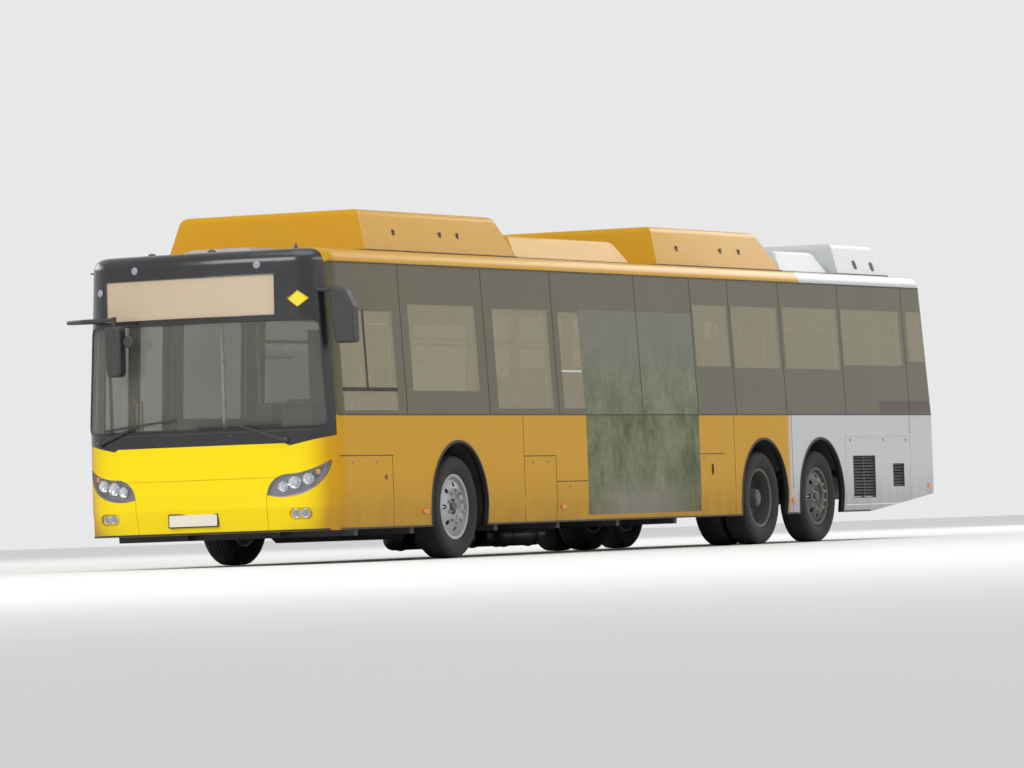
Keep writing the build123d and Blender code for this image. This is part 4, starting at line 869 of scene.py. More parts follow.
RIGHT_JOINTS = (
    (-0.92, -0.92, 0.302, 1.328),
    (0.72, 0.72, 0.302, 1.328),
    (0.72, 2.50, 0.720, 0.720),
    (4.00, 4.00, 0.302, 1.328),
    (4.00, 6.50, 0.780, 0.780),
    (5.25, 5.25, 0.302, 0.780),
    (6.50, 6.50, 0.302, 1.328),
    (8.02, 8.02, 0.302, 1.328),
    (9.50, 11.93, 1.115, 1.115),
    (9.55, 9.55, 0.310, 1.115),
    (10.80, 10.80, 0.360, 1.115),
    (11.93, 11.93, 0.50, 1.115),
)
LOCKS = (
    # behind the front axle, height, side
    (-1.72, 0.90, 1), (-2.20, 0.90, 1), (1.62, 0.88, 1), (1.96, 0.88, 1), (2.45, 0.64, 1),
    (5.72, 0.89, 1), (1.10, 0.66, -1), (2.10, 0.66, -1), (4.50, 0.73, -1), (5.60, 0.73, -1),
    (6.20, 0.73, -1), (9.90, 1.06, -1), (10.50, 1.06, -1), (11.20, 1.06, -1), (11.80, 1.06, -1),
)
COVERS = (
    # base front, base rear, top height, half base, half top
    (-1.300, 1.980, 3.232, 1.020, 0.905),
    (5.290, 8.520, 3.240, 1.020, 0.905),
    (10.080, 11.510, 3.180, 1.020, 0.905),
    (2.020, 4.790, 3.068, 0.960, 0.845),
    (8.600, 9.980, 3.075, 0.960, 0.845),
)
BUTTON_POLES = (
    # behind the front axle, side
    (-0.70, -1), (0.80, 1), (0.80, -1), (2.47, 1), (2.47, -1), (4.06, 1), (4.06, -1), (5.90, 1),
    (5.90, -1), (8.035, 1), (8.035, -1), (9.40, 1),
)
BENCHES = (
    # front edge, inner edge, outer edge, side, floor height, places
    (1.000, 0.330, 1.170, 1, 0.370, 2),
    (1.760, 0.330, 1.170, 1, 0.370, 2),
    (4.300, 0.330, 1.170, 1, 0.370, 2),
    (1.000, 0.330, 1.170, -1, 0.370, 2),
    (1.720, 0.330, 1.170, -1, 0.370, 2),
    (4.200, 0.330, 1.170, -1, 0.370, 2),
    (6.020, 0.330, 1.150, 1, 0.800, 2),
    (6.020, 0.330, 1.150, -1, 0.800, 2),
    (9.560, 0.330, 1.150, 1, 1.130, 2),
    (9.560, 0.330, 1.150, -1, 1.130, 2),
    (10.360, 0.330, 1.150, 1, 1.130, 2),
    (10.360, 0.330, 1.150, -1, 1.130, 2),
    (11.200, 0.004, 1.130, 1, 1.130, 2),
    (11.200, 0.004, 1.130, -1, 1.130, 2),
    (-1.610, 0.480, 0.960, 1, 0.620, 1),
)


def colour_setting(label, note, value):
    """A colour setting."""
    return FloatVectorProperty(name=label, description=note, subtype="COLOR", default=value)


class BusColours(PropertyGroup):
    """Colours of the bus's finishes."""

    # Painted shade: the sides' yellow and its warm drift are darker copies of the nose's yellow.
    shaded_yellow: colour_setting("Yellow", "Main coach paint", (0.57, 0.300, 0.006))
    shaded_yellow_warm: colour_setting("Warm yellow", "Drift of the main paint", (0.53, 0.270, 0.006))
    # Painted sunlight: the same yellow as the sides, lighter on the nose.
    paint_nose_sunlit: colour_setting("Front yellow", "Lighter nose yellow: painted sunlight", (0.88, 0.66, 0.004))
    # Painted shade: the white is greyed like the shaded sides.
    paint_white_shaded: colour_setting("White", "Paint towards the tail", (0.53, 0.54, 0.55))
    road_film: colour_setting("Road film", "Dust low on the sides", (0.13, 0.095, 0.055))
    glass_border: colour_setting("Glass border", "Opaque print behind the glass", (0.088, 0.078, 0.045))
    # Painted light: the panes' tint is lightened to the sky light seen through the bus and reflected in them.
    glass_tint_painted_light: colour_setting("Side glass", "Tint of the side panes", (0.330, 0.295, 0.190))
    print_grey: colour_setting("Print grey", "Upper part of the printed panel", (0.135, 0.130, 0.100))
    cabin_trim: colour_setting("Cabin trim", "Wall and ceiling lining", (0.46, 0.45, 0.42))
    mask_black: colour_setting("Mask black", "Front mask and trim", (0.008, 0.008, 0.010))
    display_face: colour_setting("Display", "Blank display face", (0.44, 0.345, 0.235))


class BusSizes(PropertyGroup):
    """Sizes of the bus's small parts."""

    seam_width: FloatProperty(
        name="Seam width", description="Width of a dark panel seam", unit="LENGTH", default=0.008)
    tread_depth: FloatProperty(
        name="Tread depth", description="Depth of the tyres' grooves", unit="LENGTH", default=0.011)
    nut_count: IntProperty(name="Wheel nuts", description="Nuts on each wheel", default=10, min=6, max=12)


class BUS_OT_stage(Operator):
    """Make the floor, the soft lamps and the camera"""

    bl_idname = "bus.stage"
    bl_label = "Stage"

    def execute(self, context):
        scene = context.scene
        scene.view_settings.view_transform = "Standard"
        scene.world = bpy.data.worlds.new("soft_room")
        room = Finish("soft_room", scene.world)
        seen = room.node("ShaderNodeLightPath", output="Is Camera Ray")
        for ray in ("Is Glossy Ray", "Is Transmission Ray"):
            seen = seen.most(room.node("ShaderNodeLightPath", output=ray))
        soft = room.node("ShaderNodeBackground", None, {"Color": (0.86, 0.87, 0.88), "Strength": 0.46})
        back = room.node("ShaderNodeBackground", None, {"Color": (0.80, 0.81, 0.81)})
        room.end(room.node("ShaderNodeMixShader", None, {0: seen, 1: soft, 2: back}), "ShaderNodeOutputWorld")

        floor_mesh = bmesh.new()
        bmesh.ops.create_grid(floor_mesh, x_segments=8, y_segments=8, size=140.0)
        data = bpy.data.meshes.new("studio_floor")
        floor_mesh.to_mesh(data)
        floor_mesh.free()
        pale = Finish("floor_pale")
        tone = pale.mix(pale.noise(0.2, 2.0), (0.74, 0.74, 0.73), (0.77, 0.77, 0.76))
        data.materials.append(pale.close(Base_Color=tone, Roughness=0.8))
        floor = add_object("studio_floor", data)

        lamps = (
            # name, place, target, width, height, watts
            ("key_front", (34, -4, 16), (4, 0, 1.4), 18, 12, 4600),
            ("side_left", (6, 34, 15), (-1, 0, 1.4), 30, 10, 3400),
            ("side_right", (-2, -34, 14), (-1, 0, 1.4), 30, 10, 3000),
            ("rear_soft", (-34, 4, 14), (-5, 0, 1.4), 16, 10, 3000),
        )
        for name, place, target, width, height, watts in lamps:
            light = bpy.data.lights.new(name, "AREA")
            light.shape = "RECTANGLE"
            light.size, light.size_y, light.energy = width, height, watts
            aim = Vector(target) - Vector(place)
            add_object(name, light, place).rotation_euler = aim.to_track_quat("-Z", "Y").to_euler()
        high = bpy.data.lights.new("sky_soft", "SUN")
        high.energy, high.angle = 1.15, radians(50)
        add_object("sky_soft", high, (0, 0, 20)).rotation_euler = (radians(-8), radians(10), 0)

        lens = bpy.data.cameras.new("camera")
        lens.sensor_width, lens.lens, lens.clip_end = 36.0, 231.0, 400.0
        scene.camera = add_object("camera", lens)
        place = Vector((59.65, 27.61, 0.30))
        forward = (Vector((3.41, 1.275, 1.62)) - place).normalized()
        level = forward.cross(Vector((0, 0, 1))).normalized()
        roll = radians(-2.03)
        right = level * cos(roll) + level.cross(forward) * sin(roll)
        turned = Matrix((right, right.cross(forward), -forward)).transposed().to_4x4()
        scene.camera.matrix_world = Matrix.Translation(place) @ turned
        return {"FINISHED"}


class BUS_OT_finishes(Operator):
    """Give every CAD part that stays in view its finish"""

    bl_idname = "bus.finishes"
    bl_label = "Finishes"

    def execute(self, context):
        body_paint("coach_paint")
        body_paint("cover_paint", 0.45, 0.1)
        side_glass_finish()
        # The door glass wears the side panes' tint with its painted light.
        glass_finish("door_glass", rgb("glass_tint_painted_light"), 0.5)
        glass_finish("screen_glass", (0.16, 0.16, 0.14), 0.30)
        for make in (display_finish, lamp_finish, floor_finish, rubber_finish, wheel_finish):
            make()
        for finish, patterns in DRESSED.items():
            for pattern in patterns.split():
                for name in matching(frame["nodes"], pattern):
                    data = frame["nodes"][name].data
                    data.materials.clear()
                    data.materials.append(Finish.named(finish))
        bare = [name for name, node in frame["nodes"].items() if not node.data.materials]
        if bare:
            raise RuntimeError("no finish for " + ", ".join(bare))
        return {"FINISHED"}


def tyre_profile(depth):
    """A tyre's cross-section from one bead to the other: across, radius, is it on the tread."""
    half = [
        (0.0977, 0.2863, 0), (0.0977, 0.306, 0), (0.110, 0.312, 0), (0.1215, 0.330, 0), (0.1225, 0.333, 0),
        (0.1305, 0.352, 0), (0.1355, 0.370, 0), (0.1378, 0.388, 0), (0.1372, 0.405, 0), (0.1352, 0.420, 0),
        (0.1362, 0.424, 0), (0.1355, 0.430, 0), (0.1310, 0.442, 0), (0.1250, 0.453, 0), (0.1130, 0.464, 1),
        (0.1010, 0.4725, 1), (0.0700, 0.4755, 1), (0.0690, 0.4755 - depth, 0), (0.0600, 0.4755 - depth, 0),
        (0.0590, 0.4760, 2), (0.0270, 0.4775, 2), (0.0262, 0.4775 - depth, 0), (0.0172, 0.4775 - depth, 0),
        (0.0162, 0.4778, 2),
    ]
    return half + [(-across, radius, kind) for across, radius, kind in reversed(half)]


def add_tyre(mesh, axle_x, middle_y, depth, steps=180):
    """Adds a tyre: ribbed sidewalls, four long grooves and cut shoulder blocks."""
    rings = []
    for step in range(steps):
        angle = 2 * pi * step / steps
        points = []
        for across, radius, kind in tyre_profile(depth):
            cut = step % 5 == 0 if kind == 1 else step % 5 == 3
            if kind and cut:
                radius -= depth * (0.75 if kind == 1 else 0.3)
            points.append((axle_x + radius * cos(angle), middle_y + across, WHEEL_Z + radius * sin(angle)))
        rings.append(points)
    add_loft(mesh, rings, wrap=True)


class BUS_OT_tyres(Operator):
    """Make the tyres with their tread and sidewall ribs, one piece a wheel"""

    bl_idname = "bus.tyres"
    bl_label = "Tyres"

    def execute(self, context):
        depth = context.scene.bus_sizes.tread_depth
        for body, axle_x, side, twin in WHEELS:
            places = (WHEEL_Y, INNER_WHEEL_Y) if twin else (WHEEL_Y,)
            tyres = [(add_tyre, axle_x, side * across, depth) for across in places]
            name = body.replace("wheel_", "tread_")
            piece = build(name, "tyre_rubber", tyres, body, "tyre_rubber", 30.0)
            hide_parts(body.replace("wheel_", "tyre_"))
        return {"FINISHED"}


def add_nut(mesh, centre, axis, size=0.016, length=0.024):
    """Adds a wheel nut with its flange and the stud's end."""
    add_turned(mesh, centre, axis, ((0, size * 1.25), (0.004, size * 1.25), (0.005, size * 1.1)), 16)
    add_turned(mesh, centre, axis, ((0.004, size), (length - 0.003, size), (length, size * 0.82)), 6)
    stud = ((length - 0.002, 0.0085), (length + 0.007, 0.0085), (length + 0.009, 0.006))
    add_turned(mesh, centre, axis, stud, 10)


def round_hub(axle_x, across, radius, number, total):
    """One of a number of even places on a circle round a wheel's middle."""
    angle = 2 * pi * number / total
    return axle_x + radius * cos(angle), across, WHEEL_Z + radius * sin(angle)


class BUS_OT_wheel_trim(Operator):
    """Make the wheel nuts, hub caps and valves"""

    bl_idname = "bus.wheel_trim"
    bl_label = "Wheel trim"

    def execute(self, context):
        count = context.scene.bus_sizes.nut_count
        single = (
            # nuts' ring and face, cap's face and profile, bolts, their ring and face
            0.1515, WHEEL_Y + 0.118, WHEEL_Y + 0.058,
            ((0, 0.064), (0.030, 0.062), (0.048, 0.056), (0.056, 0.046), (0.058, 0.030), (0.060, 0.0)),
            6, 0.101, WHEEL_Y + 0.098)
        pair = (
            0.172, WHEEL_Y - 0.157, WHEEL_Y + 0.068,
            ((0, 0.082), (0.012, 0.082), (0.016, 0.076), (0.016, 0.060), (0.024, 0.056), (0.026, 0.0)),
            8, 0.071, WHEEL_Y + 0.068 + 0.014)
        bolt = ((0, 0.007), (0.005, 0.007), (0.006, 0.005))
        for body, axle_x, side, twin in WHEELS:
            nut_ring, nut_face, face, rows, bolts, bolt_ring, bolt_face = pair if twin else single
            out = (0, side, 0)
            build(body.replace("wheel_", "nuts_"), "nut_steel", [
                (add_nut, round_hub(axle_x, side * nut_face, nut_ring, k + 0.5, count), out)
                for k in range(count)], body)
            build(body.replace("wheel_", "hub_cap_"), "hub_cap_black", [
                (add_turned, (axle_x, side * face, WHEEL_Z), out, rows, 36),
                *[(add_turned, round_hub(axle_x, side * bolt_face, bolt_ring, k, bolts), out, bolt, 6)
                  for k in range(bolts)]], body)
            if not twin:
                foot = Vector((axle_x + 0.245, side * (WHEEL_Y + 0.088), WHEEL_Z))
                bends = ((0, 0, 0), (-0.012, side * 0.014, 0), (-0.03, side * 0.02, 0))
                stem = [foot + Vector(bend) for bend in bends]
                build(body.replace("wheel_", "valve_"), "bright_trim", [(add_tube, stem, 0.0045)], body)
        return {"FINISHED"}


class BUS_OT_seals(Operator):
    """Make the rubber seals and joints of the glass, the displays and the gutters"""

    bl_idname = "bus.seals"
    bl_label = "Seals"

    def execute(self, context):
        build("screen_seal", "seal_rubber", [
            (add_tube, on_nose(rounded(SCREEN_CORNERS, 0.07), 0.001), 0.009, 8, True)])
        sign = rounded_box(-0.950, 2.246, 0.780, 2.612, 0.012, 3)
        diamond = rounded(((0.887, 2.384), (0.987, 2.304), (1.087, 2.384), (0.987, 2.464)), 0.006, 3)
        build("display_frames", "frame_gloss", [
            (add_tube, on_nose(outline, 0.0), 0.005, 6, True) for outline in (sign, diamond)])
        low, high = BELT_Z + 0.004, GUTTER_Z - 0.004
        build("pane_joints", "joint_black", [
            (add_side_band, side, place, place, low, high, 0.011, 0.0012)
            for side, meets in ((1, LEFT_MEETS), (-1, RIGHT_MEETS)) for place in meets])
        tail = FRONT_AXLE_X - TAIL_X - 0.205
        gutter = (-2.44, tail - level_at(GUTTER_Z)[2], GUTTER_Z, GUTTER_Z, 0.012, 0.004)
        bands = []
        for side, belts in ((1, ((-2.44, tail),)), (-1, ((-0.86, 2.48), (4.02, tail)))):
            bands += [(add_side_band, side, *belt, BELT_Z, BELT_Z, 0.010, 0.003) for belt in belts]
            bands.append((add_side_band, side, *gutter))
        build("belt_and_gutter_seals", "seal_rubber", bands)
        path = [tail_point(p[0], p[1], 0.001) for p in rounded_box(-0.930, 1.760, 0.930, 2.460, 0.06)]
        build("rear_window_seal", "seal_rubber", [(add_tube, path, 0.010, 8, True)])
        return {"FINISHED"}


def add_arch_lip(mesh, side, axle_x):
    """Adds the rubber lip of a wheel arch, from its front foot over the top to its rear foot."""
    reach, radius, bottom = 0.587, 0.600, 0.302
    foot = WHEEL_Z - sqrt(radius**2 - reach**2)
    start = atan2(foot - WHEEL_Z, reach)
    path = [(axle_x + reach, bottom + (foot - bottom) * k / 2) for k in range(2)]
    for k in range(41):
        angle = start + (pi - 2 * start) * k / 40
        path.append((axle_x + radius * cos(angle), WHEEL_Z + radius * sin(angle)))
    path += [(axle_x - reach, foot + (bottom - foot) * k / 2) for k in range(1, 3)]
    section = (
        # away from the arch's middle, out of the side
        (-0.006, -0.030), (-0.007, 0.005), (0.004, 0.009), (0.017, 0.006), (0.018, 0.0005), (0.001, 0.0005))
    rings = []
    for x, z in path:
        away = Vector((x - axle_x, 0, z - WHEEL_Z)).normalized()
        if z < WHEEL_Z - 0.11:
            away = Vector((1 if x > axle_x else -1, 0, 0))
        base = Vector((x, side * side_at(max(z, 0.30)), z))
        rings.append([base + away * off + Vector((0, side, 0)) * out for off, out in section])
    add_loft(mesh, rings)


def flush_handle(place, height, side):
    """Parts of a handle let into a long side."""
    x = behind(place)
    flat = rounded_box(x - 0.018, height - 0.058, x + 0.018, height + 0.058, 0.014, 4)
    yield add_plate, [side_point(p[0], p[1], side, -0.001) for p in flat], 0.004, (0, side, 0)
    yield add_tube, [side_point(x, height + k, side, 0.008) for k in (-0.042, -0.02, 0.0, 0.02, 0.042)], 0.006
    for k in (-0.042, 0.042):
        yield add_tube, [side_point(x, height + k, side, out) for out in (0.0, 0.008)], 0.006


class BUS_OT_side_trim(Operator):
    """Make the arch lips, skirt strips, panel joints, handles and locks of the sides"""

    bl_idname = "bus.side_trim"
    bl_label = "Side trim"

    def execute(self, context):
        width = context.scene.bus_sizes.seam_width
        build("arch_lips", "seal_rubber", [
            (add_arch_lip, side, axle_x) for side in (1, -1)
            for axle_x in (FRONT_AXLE_X, DRIVE_AXLE_X, TAG_AXLE_X)])
        build("skirt_strips", "skirt_plastic", [
            (add_side_band, side, front, rear, 0.3085, 0.3085, 0.016, 0.004) for side in (1, -1)
            for front, rear in ((-2.44, -0.62), (0.62, 6.64), (7.90, 8.17), (9.43, 10.15))])
        for side, joints, name in ((1, LEFT_JOINTS, "left"), (-1, RIGHT_JOINTS, "right")):
            seams = [(add_side_band, side, *joint, width) for joint in joints]
            build(name + "_panel_joints", "joint_black", seams)
        lock = (
            (-0.002, 0.014), (0.002, 0.014), (0.003, 0.012), (0.0032, 0.007), (0.0015, 0.006), (0.0015, 0.0))
        build("panel_locks", "lock_steel", [
            (add_turned, side_point(behind(place), height, side), (0, side, 0), lock, 20)
            for place, height, side in LOCKS])
        build("flush_handles", "handle_black", [
            *flush_handle(5.921, 0.780, 1), *flush_handle(4.15, 0.62, -1)])
        cap = ((-0.002, 0.024), (0.006, 0.024), (0.009, 0.020), (0.010, 0.0))
        build("emergency_cap", "cap_red", [
            (add_turned, side_point(behind(-1.54), 0.766, 1), (0, 1, 0), cap, 24)])
        return {"FINISHED"}


def headlamp_outline():
    """The left headlamp's outline as (across, height) points, arc by arc, a little inside its opening."""
    points = []
    for row, after in zip(HEADLAMP_ARCS, HEADLAMP_ARCS[1:] + HEADLAMP_ARCS[:1]):
        start, via, end = Vector(row[:2]), Vector(row[2:]), Vector(after[:2])
        reach, off = end - start, via - start
        share = off.dot(reach) / reach.length_squared
        bulge = (off - share * reach) / max(4 * share * (1 - share), 0.2)
        points += [start + k / 12 * reach + k / 3 * (1 - k / 12) * bulge for k in range(12)]
    return [p + (Vector(HEADLAMP_MIDDLE) - p).normalized() * 0.004 for p in points]


def add_headlamp_tub(mesh, side):
    """Adds a headlamp's open housing, whose walls follow the nose."""
    outline = [Vector((side * p.x, p.y)) for p in headlamp_outline()]
    middle = Vector((side * HEADLAMP_MIDDLE[0], HEADLAMP_MIDDLE[1]))
    inner = [p + (middle - p).normalized() * 0.006 for p in outline]
    shell = add_loft(mesh, [on_nose(outline, depth) for depth in (-0.0095, -0.054, -0.058)], False)
    mesh.faces.new(tuple(shell[-1]))
    lining = add_loft(mesh, [on_nose(inner, depth) for depth in (-0.046, -0.011)], False)
    mesh.faces.new(tuple(lining[0]))
    for place in range(len(outline)):
        after = (place + 1) % len(outline)
        mesh.faces.new((lining[-1][place], lining[-1][after], shell[0][after], shell[0][place]))


class BUS_OT_headlamps(Operator):
    """Make what shows behind the headlamps' clear covers: housing, bowls, domes and the turn lamp"""

    bl_idname = "bus.headlamps"
    bl_label = "Headlamps"

    def execute(self, context):
        bowl = (
            # along the axis, share of the bowl's radius
            (-0.031, 0.0), (-0.031, 0.45), (-0.008, 1.02), (0.001, 1.07), (0.003, 1.04), (0.000, 0.99),
            (-0.010, 0.90), (-0.012, 0.86), (-0.020, 0.66), (-0.026, 0.40), (-0.028, 0.0))
        dome = ((-0.027, 0.0), (-0.027, 0.9), (-0.018, 1.0), (-0.011, 0.94), (-0.005, 0.76), (-0.001, 0.46),
                (0.000, 0.0))
        amber = (
            (-0.014, 0.0), (-0.014, 0.020), (-0.004, 0.026), (0.004, 0.024), (0.008, 0.014), (0.009, 0.0))
        bowls, domes = [], []
        for side in (1, -1):
            for across, height, bowl_radius, dome_radius in HEADLAMP_DISHES:
                way = (nose_way(side * across, height) + Vector((1.5, 0, 0))).normalized()
                mouth = nose_point(side * across, height, -0.020)
                bowls.append((add_turned, mouth, way, [(k, bowl_radius * share) for k, share in bowl], 36))
                domes.append((add_turned, mouth, way, [(k, dome_radius * share) for k, share in dome], 28))
        build("headlamp_housings", "lamp_housing", [(add_headlamp_tub, side) for side in (1, -1)])
        build("headlamp_bowls", "lamp_chrome", bowls)
        build("headlamp_domes", "lamp_dome", domes)
        build("headlamp_turn_lamps", "lamp_amber", [
            (add_turned, nose_point(side * 1.130, 0.828, -0.022), nose_way(side * 1.130, 0.828), amber, 24)
            for side in (1, -1)])
        return {"FINISHED"}


def add_blade(mesh, start, end):
    """Adds a wiper's rubber between two (across, height) places on the screen."""
    rings = []
    for step in range(25):
        across, height = (a + step / 24 * (b - a) for a, b in zip(start, end))
        section = ((-0.004, 0.014), (0.004, 0.014), (0.0015, 0.0005), (-0.0015, 0.0005))
        rings.append([nose_point(across, height + shift, out) for shift, out in section])
    add_loft(mesh, rings)


class BUS_OT_nose_trim(Operator):
    """Make the wiper blades, washer jets, lamp bezels, plate, small lamps and a painted sun glint of the nose
    """

    bl_idname = "bus.nose_trim"
    bl_label = "Nose trim"

    def execute(self, context):
        build("wiper_rubbers", "seal_rubber", [
            (add_blade, (0.020, 1.266), (0.820, 1.278)), (add_blade, (-0.200, 1.338), (-0.990, 1.264))])
        arms = []
        for pivot, tip in (((0.865, 1.120), (0.420, 1.272)), ((-1.045, 1.150), (-0.600, 1.300))):
            shares = [0.12 + 0.76 * step / 8 for step in range(9)]
            path = [[a + share * (b - a) for a, b in zip(pivot, tip)] for share in shares]
            arms.append((add_tube, on_nose(path, 0.033), 0.005))
            cap = ((0, 0.021), (0.008, 0.020), (0.013, 0.014), (0.014, 0.0))
            arms.append((add_turned, nose_point(*pivot, 0.028), nose_way(*pivot), cap, 24))
        build("wiper_springs_and_caps", "arm_black", arms)

        bezels = []
        for across in (0.925, 1.012, -0.925, -1.012):
            way = nose_way(across, 0.459)
            first = way.orthogonal().normalized()
            path = ring(nose_point(across, 0.459, -0.014), first, way.cross(first), 0.039, 32)
            bezels.append((add_tube, path, 0.0045, 8, True))
        build("fog_bezels", "bright_trim", bezels)

        left, low, right, high = -0.306, 0.376, 0.179, 0.480
        x, edge = NOSE_X - 0.012, 0.012
        flat = rounded_box(left - edge, low - edge, right + edge, high + edge, 0.012, 4)
        build("front_plate_holder", "holder_black", [
            (add_plate, [(x - 0.012, p[0], p[1]) for p in flat], 0.014, (1, 0, 0))])
        flat = rounded_box(left, low, right, high, 0.01, 4)
        screw = ((0, 0.006), (0.0025, 0.005), (0.003, 0.0))
        build("front_plate", "plate_white", [
            (add_plate, [(x + 0.0015, p[0], p[1]) for p in flat], 0.003, (1, 0, 0)),
            *[(add_turned, (x + 0.004, across, 0.428), (1, 0, 0), screw, 12)
              for across in (left + 0.05, right - 0.05)]])

        lamp = ((0, 0.034), (0.008, 0.034), (0.014, 0.028), (0.016, 0.0))
        # Marker lamps on top of the mask; the one at the right A-pillar is a painted sun glint, and the
        # violet of all three is the glint's.
        build("marker_lamps_and_painted_glint", "marker_clear", [
            (add_turned, nose_point(*spot, -0.002), nose_way(*spot), lamp, 24)
            for spot in ((-1.02, 2.517), (-0.62, 2.70), (0.62, 2.70))])
        build("washer_jets", "arm_black", [
            (add_block, nose_point(across, 1.175) + Vector((0.004, 0, 0)), (0.008, 0.016, 0.008), 0.004)
            for across in (-0.55, 0.35)])
        spots = [(-1.185 + 2.37 * step / 60, 0.310) for step in range(61)]
        build("bumper_lip", "seal_rubber", [(add_band, nose_point, spots, 0.008, -0.004, 0.004)])
        build("nose_seam_backing", "coach_paint", [
            (add_box, (behind(-2.435), low, 0.312), (behind(-2.475), high, 1.318), 0.004)
            for low, high in ((1.205, 1.243), (-1.243, -1.205))])
        spots = [(-1.14 + 2.28 * step / 48, 1.205) for step in range(49)]
        build("cowl_ridge", "arm_black", [(add_band, nose_point, spots, 0.006, -0.003, 0.005)])
        return {"FINISHED"}


class BUS_OT_mirror_glasses(Operator):
    """Make the mirrors' glasses and their rims"""

    bl_idname = "bus.mirror_glasses"
    bl_label = "Mirror glasses"

    def execute(self, context):
        silver = Finish("mirror_silver")
        smear = silver.noise(14.0, 4.0)
        tone = silver.mix(smear, (0.74, 0.76, 0.78), (0.80, 0.82, 0.84))
        silver.close(Base_Color=tone, Metallic=1.0, Roughness=0.03 + smear * 0.05)
        ear_x, hung_x = NOSE_X - 0.330 + 0.005, NOSE_X + 0.020
        outlines = (
            # corners, x, radius of the corners
            (((1.300, 2.440), (1.410, 2.405), (1.470, 2.280), (1.476, 2.180), (1.330, 2.180), (1.318, 2.240)),
             ear_x, 0.02),
            (((1.338, 2.150), (1.478, 2.150), (1.480, 2.000), (1.350, 2.000)), ear_x, 0.02),
            (((-0.805, 2.160), (-0.705, 2.160), (-0.712, 1.790), (-0.798, 1.790)), hung_x, 0.03),
        )
        glasses, rims = [], []
        for corners, x, radius in outlines:
            points = rounded(corners, radius, 5, 0.05)
            glasses.append((add_plate, [(x + 0.001, p[0], p[1]) for p in points], 0.003, (-1, 0, 0)))
            rims.append((add_tube, [(x - 0.001, p[0], p[1]) for p in points], 0.004, 6, True))
        bowl = ((-0.001, 0.050), (0.002, 0.050), (0.008, 0.034), (0.010, 0.0))
        glasses.append((add_turned, (NOSE_X + 0.058, -0.612, 2.060), (-1, 0, 0), bowl, 32))
        build("mirror_glasses", "mirror_silver", glasses)
        build("mirror_rims", "seal_rubber", rims)
        return {"FINISHED"}


class BUS_OT_rear_trim(Operator):
    """Make the rear plate, handles, bumper strip, reflectors and high lamps"""

    bl_idname = "bus.rear_trim"
    bl_label = "Rear trim"

    def execute(self, context):
        build("rear_bumper_strips", "skirt_plastic", [
            (add_band, tail_point, [(side * (0.63 + 0.57 * step / 20), 0.575) for step in range(21)],
             0.035, -0.010, 0.012) for side in (1, -1)])
        build("rear_reflectors", "reflector_red", [
            (add_block, tail_point(side * across, height) + Vector((0.004, 0, 0)),
             (0.016, 0.045, 0.018), 0.005)
            for side in (1, -1) for across, height in ((0.98, 0.66), (1.08, 2.62))])
        flat = rounded_box(-0.26, 1.385, 0.26, 1.495, 0.012, 4)
        build("rear_plate", "plate_white", [
            (add_plate, [tail_point(p[0], p[1], -0.001) for p in flat], 0.0045, (-1, 0, 0))], "engine_lid")
        x = tail_at(0, 1.53)
        parts = [(add_box, (x - 0.011, -0.14, 1.512), (x + 0.014, 0.14, 1.532), 0.005)]
        x = tail_at(0.82, 1.15)
        grip = (
            (0.02, 1.085), (-0.014, 1.085), (-0.020, 1.095), (-0.020, 1.175), (-0.014, 1.185), (0.02, 1.185))
        parts += [(add_tube, [(x + out, side * 0.82, z) for out, z in grip], 0.007) for side in (1, -1)]
        build("lid_handles_and_plate_lamp", "handle_black", parts, "engine_lid")
        left, up = Vector((0, 1, 0)), Vector((0, 0, 1))
        build("tail_lamp_rims", "bright_trim", [
            (add_tube, ring(Vector((TAIL_X + 0.051, side * 1.060, z)), left, up, 0.051, 32), 0.004, 6, True)
            for side in (1, -1) for z in (0.855, 1.045, 1.235)])
        lock = ((-0.002, 0.016), (0.002, 0.016), (0.003, 0.0))
        build("flap_locks", "lock_steel", [
            (add_turned, side_point(behind(place), 1.060, 1), (0, 1, 0), lock, 20)
            for place in (9.62, 10.55, 11.20)], "engine_flap")
        return {"FINISHED"}


def cover_y(z, top_z=3.180, base=1.020, top=0.905):
    """Half width of a roof cover at one height."""
    return base + (top - base) * (z - ROOF_Z) / (top_z - ROOF_Z)


def cover_vent(place, z, side):
    """Parts of a small louvred vent in the rearmost cover."""
    x = behind(place)
    flat = rounded_box(x - 0.045, z - 0.05, x + 0.045, z + 0.05, 0.03, 4)
    yield add_plate, [(p[0], side * (cover_y(p[1]) - 0.002), p[1]) for p in flat], 0.005, (0, side, 0.33)
    for rise in (-0.028, -0.009, 0.010, 0.029):
        blade = side * (cover_y(z + rise) + 0.006)
        yield add_tube, [(x - 0.036, blade, z + rise), (x + 0.036, blade, z + rise)], 0.004, 6


